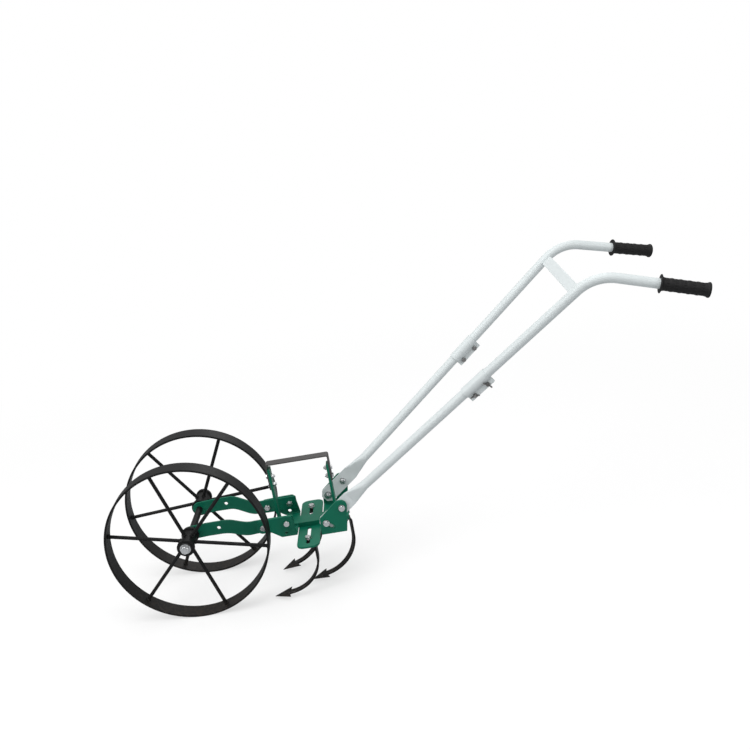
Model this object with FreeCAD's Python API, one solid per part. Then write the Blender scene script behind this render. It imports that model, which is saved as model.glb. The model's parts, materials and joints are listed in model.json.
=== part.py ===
import FreeCAD, Part
import math
import os

# Double-wheel hand cultivator. Millimetres. The parts are drawn with the origin at the middle of
# the axle, X along the centre beam towards the handles, Y towards the far wheel and Z up. At the
# end all of them are turned to the stance in which the wheels and all three tine points touch the
# ground, and moved so that the origin is the middle of the box's bottom face.

V = FreeCAD.Vector

STAND_DEG = 2.0            # rear end up, about the axle

# Wheels
WHEEL_R = 190.5            # 15 inch wheel
RIM_THICK = 5.0
RIM_WIDTH = 42.5
WHEEL_Y = 103.7            # middle of each rim
SPOKE_R = 4.25
SPOKE_COUNT = 6
NEAR_SPOKE_DEG = -13.5
FAR_SPOKE_DEG = 3.9
HUB_R = 17.0
HUB_BORE_R = 9.0
HUB_HALF = 34.7
COLLAR_R = 20.5
COLLAR_LONG = 9.0
BUSH_LONG = 18.0
BUSH_FLANGE_R = 14.0
BUSH_FLANGE = 1.5

# Axle
AXLE_R = 6.0
RUN_CLEAR = 0.05           # radial running clearance of a bush on the axle
AXLE_END = 151.0
SPACER_R = 8.0
SPACER_WALL = 1.8
AXLE_NUT_AF = 18.0
AXLE_NUT_LONG = 8.0
AXLE_WASHER_R = 12.5
AXLE_WASHER = 2.0          # thickness of the outer washer

# Side arms: flat bar from the axle back to the front side plates
ARM_TALL = 33.0
ARM_DROP = 16.5            # how far the rear stretch lies below the axle
BAR = 5.0                  # thickness of the arms and of every side plate
ARM_FRONT_Y = 62.0         # inner face beside the hub
ARM_REAR_Y = 50.0          # inner face beside the front side plate
ARM_END_X = 244.0
ARM_HOLE_X = 68.4
ARM_HOLE_Z = 3.5
ARM_HOLE_R = 4.5
ARM_BOLTS = ((170.0, -18.0), (227.0, -16.0))
PLATE_SPARE_HOLE = (222.0, -39.5)

# Centre beam, tool plate and cross plates
DECK_Z = -52.0             # underside of the beam and top of the tool plate
PLATE_LOW_Z = -50.0        # lower edge of the side plates
BEAM_TOP_Z = -40.0
BEAM_HALF = 20.0
BEAM_WALL = 4.0
BEAM_FRONT_X = 186.0
BEAM_REAR_X = 372.0
TOOL_X = (248.0, 302.0)
TOOL_HALF = 122.0
TOOL_THICK = 5.0
TOOL_CORNER_R = 17.0
SLOT_X = 274.0
SLOT_Y = (25.0, 107.0)
SLOT_WIDE = 9.0
CROSS_FRONT_X = (214.0, 248.0)
CROSS_REAR_X = (306.5, 367.6)
FOOT_NOTCH_X = (313.0, 356.0)
FOOT_NOTCH_Y = 69.0

# Rear side plates and the handle pivot
REAR_PLATE_Y = 75.0        # inner face
PIVOT = (365.0, 11.6)
LOCK = (322.7, -21.0)
LOCK_SWEEP_DEG = 20.0
LOCK_SLOT_R = 4.6

# Uprights and top strap
UPRIGHT_WIDE = 25.0
UPRIGHT_THICK = 6.0
FRONT_UPRIGHT_X = 200.0    # front face of the front upright
REAR_UPRIGHT_X = 346.0     # rear face of the rear upright
UPRIGHT_TOPS = (106.0, 96.0)
UPRIGHT_FOOT = 26.0
STRAP_THICK = 3.0
STRAP_TOP_Z = 120.0
STRAP_BEND_R = 5.0
STRAP_BOLT_Z = (63.0, 84.0)
STRAP_LEG_Z = 54.0

# Tines
TINE_THICK = 5.0
TINE_TAB_WIDE = 25.0
TINE_NECK_WIDE = 15.0
TINE_BEND_R = 7.0
TINE_SWEEP_R = 87.0        # centre line of the big curve
TINE_SWEEP_DEG = 82.0
TINE_REACH = 14.0          # bolt to the vertical leg
NECK_LONG = 8.0            # straight stretch between the curve and the head
TINE_TAB_FRONT = 14.0      # bolt to the front end of the tab
HEAD_LONG = 38.0
HEAD_WIDE = 45.0
HEAD_THICK = 4.0
FRONT_TINE_Y = 84.0
NEAR_TINE_TURN = 0.0
FAR_TINE_TURN = 25.0
REAR_TINE_TURN = 14.0
REAR_TINE_BOLT_X = 359.0
TINE_BOLT_R = 4.0

# Handles
TUBE_R = 11.0
TUBE_WALL = 1.2
HANDLE_RISE_DEG = 37.9
HANDLE_SPREAD_DEG = 7.95
GRIP_FALL_DEG = 15.7
FOOT_THICK = 4.0
FOOT_WIDE = 37.0
FOOT_GAP = 0.3             # between the foot and the rear side plate
FOOT_TIP = 14.0            # beyond the lock bolt
FOOT_BACK = 30.0           # beyond the pivot bolt, where the flat ends
FOOT_TAPER = 48.0          # length over which the flat becomes round
SLEEVE_AT = 439.0          # from the pivot, along the handle
SLEEVE_LONG = 67.0
SLEEVE_R = 13.2
EAR_DROP = 24.5            # from the tube's centre line to the outer edge of an ear
EAR_THICK = 3.0
EAR_GAP = 3.0
CLAMP_BOLT_DROP = 18.5
CLAMP_BOLT_STEP = 19.0     # each side of the sleeve's middle
WING_TURNS = {-1: 15.0, 1: -30.0}      # rise of the wings of the lower and upper wing nut
WING_THICK = 2.4
WING_HUB = 5.5             # height of a wing nut's hub
CROSSBAR_AT = 729.0
CROSSBAR_WIDE = 25.0
CROSSBAR_THICK = 3.0
CORNER_AT = 779.0          # where the two straight stretches would meet
BEND_R = 95.0
GRIP_AT = 133.0            # from that corner to the grip's flange
GRIP_LONG = 102.0
GRIP_R = 14.3
GRIP_FLANGE_R = 20.0
GRIP_LIP_R = 16.5

# Fasteners: across flats, head height, nut height, washer radius
M8 = {"r": 4.0, "af": 13.0, "head": 5.3, "nut": 6.5, "washer_r": 8.0, "washer": 1.6}
M6 = {"r": 3.0, "af": 10.0, "head": 4.0, "nut": 5.0, "washer_r": 6.0, "washer": 1.6}
CLEAR = 0.3                # radial clearance of a bolt in a plain hole
NUT_TURN_DEG = 15.0        # nuts stand turned from their bolts' heads
LOCK_WASHER_R = 10.0
NEAR_SIDE_Y = (-90.0, -30.0)   # spans every flat piece on the near side


def cylinder(start, end, radius):
    """Solid cylinder between two points."""
    along = end - start
    return Part.makeCylinder(radius, along.Length, start, along)


def tube(start, end, outer, inner):
    """Hollow cylinder between two points."""
    return cylinder(start, end, outer).cut(cylinder(start, end, inner))


def side_hole(x, z, radius):
    """Tool for a hole along Y through the flat pieces of the near side."""
    return cylinder(V(x, NEAR_SIDE_Y[0], z), V(x, NEAR_SIDE_Y[1], z), radius)


def mirrored(shape):
    """The same shape on the other side of the middle plane."""
    return shape.mirror(V(0, 0, 0), V(0, 1, 0))


def outline(corners, place):
    """Closed wire through corners (a, b, radius), each rounded by its own radius."""
    flat = [V(a, b, 0) for a, b, radius in corners]
    stations = []
    for i, corner in enumerate(flat):
        radius = corners[i][2]
        back = (flat[i - 1] - corner).normalize()
        ahead = (flat[(i + 1) % len(flat)] - corner).normalize()
        if radius == 0:
            stations.append((corner, None, corner))
            continue
        half = back.getAngle(ahead) / 2
        reach = radius / math.tan(half)
        middle = corner + (back + ahead).normalize() * (radius / math.sin(half) - radius)
        stations.append((corner + back * reach, middle, corner + ahead * reach))
    edges = []
    for i, (first, middle, last) in enumerate(stations):
        before = stations[i - 1][2]
        if (first - before).Length > 1e-6:
            edges.append(Part.makeLine(place(before), place(first)))
        if middle is not None:
            edges.append(Part.Arc(place(first), place(middle), place(last)).toShape())
    return Part.Wire(edges)


def plate_xz(corners, y_low, y_high):
    """Plate standing along X, outlined in X and Z."""
    face = Part.Face(outline(corners, lambda p: V(p.x, y_low, p.y)))
    return face.extrude(V(0, y_high - y_low, 0))


def plate_xy(corners, z_low, z_high):
    """Plate lying flat, outlined in X and Y."""
    face = Part.Face(outline(corners, lambda p: V(p.x, p.y, z_low)))
    return face.extrude(V(0, 0, z_high - z_low))


def hex_prism(start, axis, across_flats, height, turn_deg=0.0):
    """Hexagonal head or nut standing on start, along axis, with chamfered corners."""
    axis = V(axis).normalize()
    corner_r = across_flats / math.sqrt(3)
    side = V(0, 0, 1) if abs(axis.z) < 0.9 else V(1, 0, 0)
    side = (side - axis * side.dot(axis)).normalize()
    other = axis.cross(side)
    points = []
    for k in range(7):
        angle = math.radians(60 * k + turn_deg)
        points.append(start + (side * math.cos(angle) + other * math.sin(angle)) * corner_r)
    prism = Part.Face(Part.makePolygon(points)).extrude(axis * height)
    rise = corner_r - across_flats / 2
    tall = 2 * height
    top_r = across_flats / 2 - rise * 0.2
    cone = Part.makeCone(top_r + tall, top_r, tall, start + axis * (height - tall), axis)
    return prism.common(cone)


def bolt(head_face, axis, grip, size, tail=3.0):
    """Hexagon bolt: its head stands on head_face against axis, the shank runs along axis."""
    axis = V(axis).normalize()
    head = hex_prism(head_face, axis * -1, size["af"], size["head"])
    shank = cylinder(head_face, head_face + axis * (grip + size["nut"] + tail), size["r"])
    return head.fuse(shank).removeSplitter()


def nut(face, axis, size):
    """Hexagon nut standing on face along axis, bored for its bolt."""
    axis = V(axis).normalize()
    body = hex_prism(face, axis, size["af"], size["nut"], NUT_TURN_DEG)
    return body.cut(cylinder(face - axis, face + axis * (size["nut"] + 1), size["r"]))


def washer(face, axis, size):
    """Plain washer lying on face along axis."""
    axis = V(axis).normalize()
    return tube(face, face + axis * size["washer"], size["washer_r"], size["r"] + CLEAR)


def group(shapes):
    """Several separate solids in one node."""
    return Part.makeCompound(shapes)


# Wheels ---------------------------------------------------------------------------------------

def wheel_rim(side):
    low = V(0, side * WHEEL_Y - RIM_WIDTH / 2, 0)
    high = V(0, side * WHEEL_Y + RIM_WIDTH / 2, 0)
    return tube(low, high, WHEEL_R, WHEEL_R - RIM_THICK)


def wheel_spokes(side, first_deg):
    spokes = []
    y = side * WHEEL_Y
    rim_inside = cylinder(V(0, y - SPOKE_R * 2, 0), V(0, y + SPOKE_R * 2, 0), WHEEL_R - RIM_THICK)
    hub_outside = cylinder(V(0, y - SPOKE_R * 2, 0), V(0, y + SPOKE_R * 2, 0), HUB_R)
    for k in range(SPOKE_COUNT):
        angle = math.radians(first_deg + 360.0 / SPOKE_COUNT * k)
        out = V(math.cos(angle), 0, math.sin(angle))
        rod = cylinder(V(0, y, 0) + out * (HUB_R - 2), V(0, y, 0) + out * WHEEL_R, SPOKE_R)
        spokes.append(rod.common(rim_inside).cut(hub_outside))
    return group(spokes)


def wheel_hub(side):
    y = side * WHEEL_Y
    low = V(0, y - HUB_HALF, 0)
    high = V(0, y + HUB_HALF, 0)
    long = V(0, COLLAR_LONG, 0)
    hub = cylinder(low, high, HUB_R)
    hub = hub.fuse([cylinder(low, low + long, COLLAR_R), cylinder(high - long, high, COLLAR_R)])
    hub = hub.cut(cylinder(low, high, HUB_BORE_R)).removeSplitter()
    return hub


def wheel_bushes(side):
    bushes = []
    for end in (-1, 1):
        out = V(0, end, 0)
        mouth = V(0, side * WHEEL_Y + end * HUB_HALF, 0)
        bush = cylinder(mouth - out * BUSH_LONG, mouth, HUB_BORE_R)
        bush = bush.fuse(cylinder(mouth, mouth + out * BUSH_FLANGE, BUSH_FLANGE_R))
        bore = cylinder(mouth - out * BUSH_LONG, mouth + out * BUSH_FLANGE, AXLE_R + RUN_CLEAR)
        bushes.append(bush.cut(bore).removeSplitter())
    return group(bushes)


# Axle -----------------------------------------------------------------------------------------

def axle():
    return cylinder(V(0, -AXLE_END, 0), V(0, AXLE_END, 0), AXLE_R)


def axle_spacer():
    return tube(V(0, -ARM_FRONT_Y, 0), V(0, ARM_FRONT_Y, 0), SPACER_R, SPACER_R - SPACER_WALL)


def hub_outer_y():
    """Outer end of a hub with its bush flange, with room to turn."""
    return WHEEL_Y + HUB_HALF + BUSH_FLANGE + CLEAR


def axle_washers():
    inner = ARM_FRONT_Y + BAR
    inner_end = WHEEL_Y - HUB_HALF - BUSH_FLANGE - CLEAR
    outer = hub_outer_y()
    washers = []
    for side in (-1, 1):
        for start, end in ((inner, inner_end), (outer, outer + AXLE_WASHER)):
            washers.append(tube(V(0, side * start, 0), V(0, side * end, 0), AXLE_WASHER_R, AXLE_R))
    return group(washers)


def axle_nuts():
    nuts = []
    for side in (-1, 1):
        out = V(0, side, 0)
        face = out * (hub_outer_y() + AXLE_WASHER)
        body = hex_prism(face, out, AXLE_NUT_AF, AXLE_NUT_LONG)
        nuts.append(body.cut(cylinder(V(0, 0, 0), out * 200, AXLE_R)))
    return group(nuts)


# Frame ----------------------------------------------------------------------------------------

def near_arm():
    half = ARM_TALL / 2
    side_view = plate_xz([
        (-half, -half, half - 0.1), (40, -half + 3.5, 80), (86, -half + 3.5, 60),
        (130, -half - ARM_DROP, 60), (ARM_END_X, -half - ARM_DROP, 3), (ARM_END_X, half - ARM_DROP, 3),
        (136, half - ARM_DROP, 60), (92, half + 3.5, 60), (40, half + 3.5, 80),
        (-half, half, half - 0.1),
    ], *NEAR_SIDE_Y)
    top_view = plate_xy([
        (-half - 1, -ARM_FRONT_Y, 0), (82, -ARM_FRONT_Y, 30), (152, -ARM_REAR_Y, 30),
        (ARM_END_X + 1, -ARM_REAR_Y, 0), (ARM_END_X + 1, -ARM_REAR_Y - BAR, 0),
        (152, -ARM_REAR_Y - BAR, 35), (82, -ARM_FRONT_Y - BAR, 35), (-half - 1, -ARM_FRONT_Y - BAR, 0),
    ], -60, 60)
    arm = side_view.common(top_view)
    holes = [side_hole(0, 0, AXLE_R), side_hole(ARM_HOLE_X, ARM_HOLE_Z, ARM_HOLE_R)]
    holes += [side_hole(x, z, M8["r"] + CLEAR) for x, z in ARM_BOLTS]
    return arm.cut(holes)


def near_front_plate():
    outer = -ARM_REAR_Y - 2 * BAR
    inner = -ARM_REAR_Y - BAR
    plate = plate_xz([
        (157, -33.5, 10), (187, -33.5, 10), (210, PLATE_LOW_Z, 6), (248, PLATE_LOW_Z, 2),
        (241, 2, 9), (196, 1, 20), (157, -1, 10),
    ], outer, inner)
    holes = [side_hole(x, z, M8["r"] + CLEAR) for x, z in ARM_BOLTS]
    holes.append(side_hole(*PLATE_SPARE_HOLE, ARM_HOLE_R))
    return plate.cut(holes)


def arm_bolts():
    bolts = []
    for side in (-1, 1):
        for x, z in ARM_BOLTS:
            head = V(x, side * (ARM_REAR_Y + 2 * BAR), z)
            bolts.append(bolt(head, V(0, -side, 0), 2 * BAR, M8))
    return group(bolts)


def arm_nuts():
    nuts = []
    for side in (-1, 1):
        for x, z in ARM_BOLTS:
            nuts.append(nut(V(x, side * ARM_REAR_Y, z), V(0, -side, 0), M8))
    return group(nuts)


def near_cross_plate(x_low, x_high, y_out):
    """Short plate from the beam's side out to a side plate."""
    return plate_xy([(x_low, -y_out, 0), (x_high, -y_out, 0), (x_high, -BEAM_HALF, 0),
                     (x_low, -BEAM_HALF, 0)], PLATE_LOW_Z, PLATE_LOW_Z + BAR)


def front_cross_plates():
    plate = near_cross_plate(*CROSS_FRONT_X, ARM_REAR_Y)
    return group([plate, mirrored(plate)])


def rear_cross_plates():
    """Notched at the outer edge, where the foot of a handle swings past."""
    plate = near_cross_plate(*CROSS_REAR_X, REAR_PLATE_Y)
    x_low, x_high = FOOT_NOTCH_X
    notch = plate_xy([(x_low, -REAR_PLATE_Y - 1, 0), (x_high, -REAR_PLATE_Y - 1, 0),
                      (x_high, -FOOT_NOTCH_Y, 3), (x_low, -FOOT_NOTCH_Y, 3)],
                     PLATE_LOW_Z - 1, PLATE_LOW_Z + BAR + 1)
    plate = plate.cut(notch)
    return group([plate, mirrored(plate)])


def centre_beam():
    length = BEAM_REAR_X - BEAM_FRONT_X
    tall = BEAM_TOP_Z - DECK_Z
    outer = Part.makeBox(length, 2 * BEAM_HALF, tall, V(BEAM_FRONT_X, -BEAM_HALF, DECK_Z))
    inner = Part.makeBox(length, 2 * (BEAM_HALF - BEAM_WALL), tall - BEAM_WALL,
                         V(BEAM_FRONT_X, -BEAM_HALF + BEAM_WALL, DECK_Z))
    beam = outer.cut(inner)
    holes = []
    for x in upright_bolt_xs():
        holes.append(cylinder(V(x, 0, DECK_Z - 1), V(x, 0, BEAM_TOP_Z + 1), M6["r"] + CLEAR))
    holes.append(cylinder(V(REAR_TINE_BOLT_X, 0, DECK_Z - 1), V(REAR_TINE_BOLT_X, 0, BEAM_TOP_Z + 1),
                          TINE_BOLT_R + CLEAR))
    return beam.cut(holes)


def tool_plate():
    x_low, x_high = TOOL_X
    low = DECK_Z - TOOL_THICK
    plate = plate_xy([
        (x_low, -TOOL_HALF, TOOL_CORNER_R), (x_high, -TOOL_HALF, TOOL_CORNER_R),
        (x_high, TOOL_HALF, TOOL_CORNER_R), (x_low, TOOL_HALF, TOOL_CORNER_R),
    ], low, DECK_Z)
    y_low, y_high = SLOT_Y
    cuts = []
    half = SLOT_WIDE / 2
    for side in (-1, 1):
        ends = sorted((side * y_low, side * y_high))
        cuts.append(plate_xy([
            (SLOT_X - half, ends[0], half - 0.01), (SLOT_X + half, ends[0], half - 0.01),
            (SLOT_X + half, ends[1], half - 0.01), (SLOT_X - half, ends[1], half - 0.01),
        ], low - 1, DECK_Z + 1))
    return plate.cut(cuts)


def lock_slot():
    """Curved slot in the rear side plate, about the pivot."""
    px, pz = PIVOT
    radius = math.hypot(LOCK[0] - px, LOCK[1] - pz)
    start = math.degrees(math.atan2(LOCK[1] - pz, LOCK[0] - px))
    ends = []
    for turn in (0.0, LOCK_SWEEP_DEG):
        angle = math.radians(start + turn)
        ends.append((px + radius * math.cos(angle), pz + radius * math.sin(angle)))
    low, high = NEAR_SIDE_Y
    ring = tube(V(px, low, pz), V(px, high, pz), radius + LOCK_SLOT_R, radius - LOCK_SLOT_R)
    middle = V(px, low, pz)
    rays = [middle + (V(x, low, z) - middle) * 3 for x, z in ends]
    wedge = Part.Face(Part.makePolygon([middle, rays[0], rays[1], middle])).extrude(V(0, high - low, 0))
    slot = ring.common(wedge)
    rounds = [side_hole(x, z, LOCK_SLOT_R) for x, z in ends]
    return slot.fuse(rounds).removeSplitter()


def near_rear_plate():
    outer = -REAR_PLATE_Y - BAR
    plate = plate_xz([
        (306.5, PLATE_LOW_Z, 2), (367.6, PLATE_LOW_Z, 2), (380, 30, 14), (354, 30, 12),
        (309.5, -8.5, 3),
    ], outer, -REAR_PLATE_Y)
    return plate.cut([side_hole(*PIVOT, M8["r"] + RUN_CLEAR), lock_slot()])


# Uprights and strap ---------------------------------------------------------------------------

def upright_bolt_xs():
    return (FRONT_UPRIGHT_X + UPRIGHT_THICK + UPRIGHT_FOOT / 2,
            REAR_UPRIGHT_X - UPRIGHT_THICK - UPRIGHT_FOOT / 2)


def bent_strip(corners, wide):
    """Flat bar bent in the XZ plane, centred on the middle plane."""
    return plate_xz(corners, -wide / 2, wide / 2)


def front_upright():
    x = FRONT_UPRIGHT_X
    t = UPRIGHT_THICK
    z = BEAM_TOP_Z
    strip = bent_strip([
        (x, z, t + 2), (x + t + UPRIGHT_FOOT, z, 0), (x + t + UPRIGHT_FOOT, z + t, 0),
        (x + t, z + t, 2), (x + t, UPRIGHT_TOPS[0], 0), (x, UPRIGHT_TOPS[0], 0),
    ], UPRIGHT_WIDE)
    return strip.cut(upright_holes(x - 1, x + t + 1, upright_bolt_xs()[0]))


def rear_upright():
    x = REAR_UPRIGHT_X
    t = UPRIGHT_THICK
    z = BEAM_TOP_Z
    strip = bent_strip([
        (x, z, t + 2), (x, UPRIGHT_TOPS[1], 0), (x - t, UPRIGHT_TOPS[1], 0), (x - t, z + t, 2),
        (x - t - UPRIGHT_FOOT, z + t, 0), (x - t - UPRIGHT_FOOT, z, 0),
    ], UPRIGHT_WIDE)
    return strip.cut(upright_holes(x - t - 1, x + 1, upright_bolt_xs()[1]))


def upright_holes(x_low, x_high, foot_x):
    holes = []
    for z in STRAP_BOLT_Z:
        holes.append(cylinder(V(x_low, 0, z), V(x_high, 0, z), M6["r"] + CLEAR))
    holes.append(cylinder(V(foot_x, 0, BEAM_TOP_Z - 1), V(foot_x, 0, BEAM_TOP_Z + 20), M6["r"] + CLEAR))
    return holes


def top_strap():
    t = STRAP_THICK
    left = FRONT_UPRIGHT_X - t
    right = REAR_UPRIGHT_X + t
    top = STRAP_TOP_Z
    low = STRAP_LEG_Z
    inner_r = STRAP_BEND_R - t
    strap = bent_strip([
        (left, low, 0), (left + t, low, 0), (left + t, top - t, inner_r), (right - t, top - t, inner_r),
        (right - t, low, 0), (right, low, 0), (right, top, STRAP_BEND_R), (left, top, STRAP_BEND_R),
    ], UPRIGHT_WIDE)
    holes = []
    for z in STRAP_BOLT_Z:
        holes.append(cylinder(V(left - 1, 0, z), V(right + 1, 0, z), M6["r"] + CLEAR))
    return strap.cut(holes)


def strap_bolts():
    grip = STRAP_THICK + UPRIGHT_THICK
    bolts = []
    for z in STRAP_BOLT_Z:
        bolts.append(bolt(V(FRONT_UPRIGHT_X - STRAP_THICK, 0, z), V(1, 0, 0), grip, M6))
        bolts.append(bolt(V(REAR_UPRIGHT_X + STRAP_THICK, 0, z), V(-1, 0, 0), grip, M6))
    return group(bolts)


def small_frame_nuts():
    """Every small nut of the frame: under the beam and on the uprights."""
    nuts = []
    for x in upright_bolt_xs():
        nuts.append(nut(V(x, 0, BEAM_TOP_Z - BEAM_WALL), V(0, 0, -1), M6))
    for z in STRAP_BOLT_Z:
        nuts.append(nut(V(FRONT_UPRIGHT_X + UPRIGHT_THICK, 0, z), V(1, 0, 0), M6))
        nuts.append(nut(V(REAR_UPRIGHT_X - UPRIGHT_THICK, 0, z), V(-1, 0, 0), M6))
    return group(nuts)


def upright_bolts():
    grip = UPRIGHT_THICK + BEAM_WALL
    face_z = BEAM_TOP_Z + UPRIGHT_THICK
    return group([bolt(V(x, 0, face_z), V(0, 0, -1), grip, M6, 0.5) for x in upright_bolt_xs()])


# Tines ----------------------------------------------------------------------------------------

def ground_z(x):
    """Height of the ground under the level frame, at x."""
    stand = math.radians(STAND_DEG)
    return -(WHEEL_R + x * math.sin(stand)) / math.cos(stand)


def on_circle(middle, radius, angle_deg):
    """Point of a circle in the XZ plane."""
    angle = math.radians(angle_deg)
    return middle + V(math.cos(angle), 0, math.sin(angle)) * radius


def tine_edge(offset, bend, centre, forward):
    """One long edge of a tine's side view, offset to the outside of its bends."""
    bend_r = TINE_BEND_R + offset
    sweep_r = TINE_SWEEP_R + offset
    sweep_end = on_circle(centre, sweep_r, -TINE_SWEEP_DEG)
    tab_start = V(-TINE_TAB_FRONT, 0, bend.z + bend_r)
    return [
        Part.makeLine(tab_start, on_circle(bend, bend_r, 90)),
        Part.Arc(on_circle(bend, bend_r, 90), on_circle(bend, bend_r, 45),
                 on_circle(bend, bend_r, 0)).toShape(),
        Part.makeLine(on_circle(bend, bend_r, 0), on_circle(centre, sweep_r, 0)),
        Part.Arc(on_circle(centre, sweep_r, 0), on_circle(centre, sweep_r, -TINE_SWEEP_DEG / 2),
                 sweep_end).toShape(),
        Part.makeLine(sweep_end, sweep_end + forward * NECK_LONG),
    ]


def tine(bolt_x, bolt_y, under_z, turn_deg):
    """Curved tine hung under under_z by one bolt: tab, leg, forward sweep and arrow head."""
    fall = math.radians(90 - TINE_SWEEP_DEG)
    forward = V(-math.cos(fall), 0, -math.sin(fall))
    up = V(-math.sin(fall), 0, math.cos(fall))
    ahead = (NECK_LONG + HEAD_LONG) * math.cos(fall)
    sweep_back = TINE_SWEEP_R * (1 - math.sin(fall))
    tip_x = bolt_x + (TINE_REACH - sweep_back - ahead) * math.cos(math.radians(turn_deg))
    tip_z = ground_z(tip_x) - under_z
    sweep_z = (tip_z + (NECK_LONG + HEAD_LONG) * math.sin(fall) + HEAD_THICK / 2 * math.cos(fall)
               + TINE_SWEEP_R * math.cos(fall))
    bend = V(TINE_REACH - TINE_BEND_R, 0, -TINE_THICK / 2 - TINE_BEND_R)
    centre = V(TINE_REACH - TINE_SWEEP_R, 0, sweep_z)

    # Side view: the bar's own thickness along its bent centre line.
    outer = tine_edge(TINE_THICK / 2, bend, centre, forward)
    inner = tine_edge(-TINE_THICK / 2, bend, centre, forward)
    ends = [Part.makeLine(outer[0].Vertexes[0].Point, inner[0].Vertexes[0].Point),
            Part.makeLine(outer[-1].Vertexes[1].Point, inner[-1].Vertexes[1].Point)]
    face = Part.Face(Part.Wire(Part.__sortEdges__(outer + inner + ends)))
    wide = TINE_TAB_WIDE / 2
    face.translate(V(0, -wide, 0))
    side_view = face.extrude(V(0, TINE_TAB_WIDE, 0))

    # Front view: full width at the tab, tapering down the leg to the neck.
    neck = TINE_NECK_WIDE / 2
    low = tip_z - 10
    front_view = Part.Face(Part.makePolygon([
        V(-300, -wide, 10), V(-300, wide, 10), V(-300, wide, -30), V(-300, neck, low),
        V(-300, -neck, low), V(-300, -wide, -30), V(-300, -wide, 10),
    ])).extrude(V(400, 0, 0))
    bar = side_view.common(front_view)

    # Arrow head: a flat point with two swept barbs, at the middle of the bar's thickness.
    head_start = on_circle(centre, TINE_SWEEP_R, -TINE_SWEEP_DEG) + forward * NECK_LONG

    def head_point(along, across):
        return head_start + forward * along + V(0, across, 0) - up * (HEAD_THICK / 2)

    barb = HEAD_WIDE / 2
    head = Part.Face(Part.makePolygon([
        head_point(HEAD_LONG, 0), head_point(-3, barb), head_point(4, neck), head_point(-6, neck - 2),
        head_point(-6, 2 - neck), head_point(4, -neck), head_point(-3, -barb), head_point(HEAD_LONG, 0),
    ])).extrude(up * HEAD_THICK)
    shape = bar.fuse(head).removeSplitter()
    shape = shape.cut(cylinder(V(0, 0, -2 * TINE_THICK), V(0, 0, TINE_THICK), TINE_BOLT_R + CLEAR))
    shape.rotate(V(0, 0, 0), V(0, 0, 1), turn_deg)
    shape.translate(V(bolt_x, bolt_y, under_z))
    return shape


def tine_bolt(x, y, top_z, under_z):
    """Head on a washer above, shank down through the plate and the tine."""
    head_z = top_z + M8["washer"]
    return bolt(V(x, y, head_z), V(0, 0, -1), head_z - under_z + TINE_THICK, M8)


def tine_washer(x, y, top_z):
    return washer(V(x, y, top_z), V(0, 0, 1), M8)


def tine_nut(x, y, under_z):
    return nut(V(x, y, under_z - TINE_THICK), V(0, 0, -1), M8)


# Handles --------------------------------------------------------------------------------------

def handle_dirs():
    """Unit directions of the near handle: its straight run and its grip."""
    rise = math.radians(HANDLE_RISE_DEG)
    fall = math.radians(GRIP_FALL_DEG)
    spread = math.radians(HANDLE_SPREAD_DEG)
    run = V(math.cos(spread) * math.cos(rise), -math.sin(spread), math.cos(spread) * math.sin(rise))
    grip = V(math.cos(spread) * math.cos(fall), -math.sin(spread), -math.cos(spread) * math.sin(fall))
    return run, grip


def foot_y():
    return -REAR_PLATE_Y + FOOT_GAP + FOOT_THICK / 2


def on_run(distance):
    """Point on the near handle's centre line, at a distance along the slope from the pivot."""
    rise = math.radians(HANDLE_RISE_DEG)
    out = max(0.0, distance - FOOT_BACK) * math.tan(math.radians(HANDLE_SPREAD_DEG))
    return V(PIVOT[0] + distance * math.cos(rise), foot_y() - out, PIVOT[1] + distance * math.sin(rise))


def on_grip(distance):
    """Point on the near handle's centre line, past the corner where the bend would be sharp."""
    return on_run(CORNER_AT) + handle_dirs()[1] * distance


def slope_frame():
    """Along and across directions of the flattened foot, in the XZ plane."""
    rise = math.radians(HANDLE_RISE_DEG)
    return V(math.cos(rise), 0, math.sin(rise)), V(-math.sin(rise), 0, math.cos(rise))


def round_box(half_a, half_b, spare):
    """Outline corners of a box whose short sides are almost wholly rounded."""
    r = min(half_a, half_b) - spare
    return [(-half_a, -half_b, r), (half_a, -half_b, r), (half_a, half_b, r), (-half_a, half_b, r)]


def near_lower_tube():
    along, across = slope_frame()
    lock_back = math.hypot(LOCK[0] - PIVOT[0], LOCK[1] - PIVOT[1])
    half = FOOT_WIDE / 2
    y_mid = foot_y()
    pivot = V(PIVOT[0], y_mid - FOOT_THICK / 2, PIVOT[1])

    def place(p):
        return pivot + along * p.x + across * p.y

    tip = -lock_back - FOOT_TIP
    flat = Part.Face(outline([
        (tip, -9, 3), (tip + 11, -half, 5), (FOOT_BACK, -half, 0), (FOOT_BACK, half, 0),
        (tip + 11, half, 5), (tip, 9, 3),
    ], place)).extrude(V(0, FOOT_THICK, 0))
    # The flat rounds up into the tube.
    run = handle_dirs()[0]
    start = on_run(FOOT_BACK)
    end = on_run(FOOT_BACK + FOOT_TAPER)
    side = run.cross(across).normalize()
    flat_end = outline(round_box(half, FOOT_THICK / 2, 0.01),
                       lambda p: start + across * p.x + V(0, 1, 0) * p.y)
    round_end = outline(round_box(TUBE_R, TUBE_R, 0.02), lambda p: end + across * p.x - side * p.y)
    taper = Part.makeLoft([flat_end, round_end], True, True)
    body = tube(end, on_run(SLEEVE_AT - 1), TUBE_R, TUBE_R - TUBE_WALL)
    shape = flat.fuse([taper, body]).removeSplitter()
    return shape.cut([side_hole(x, z, M8["r"] + RUN_CLEAR) for x, z in (PIVOT, LOCK)])


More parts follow.
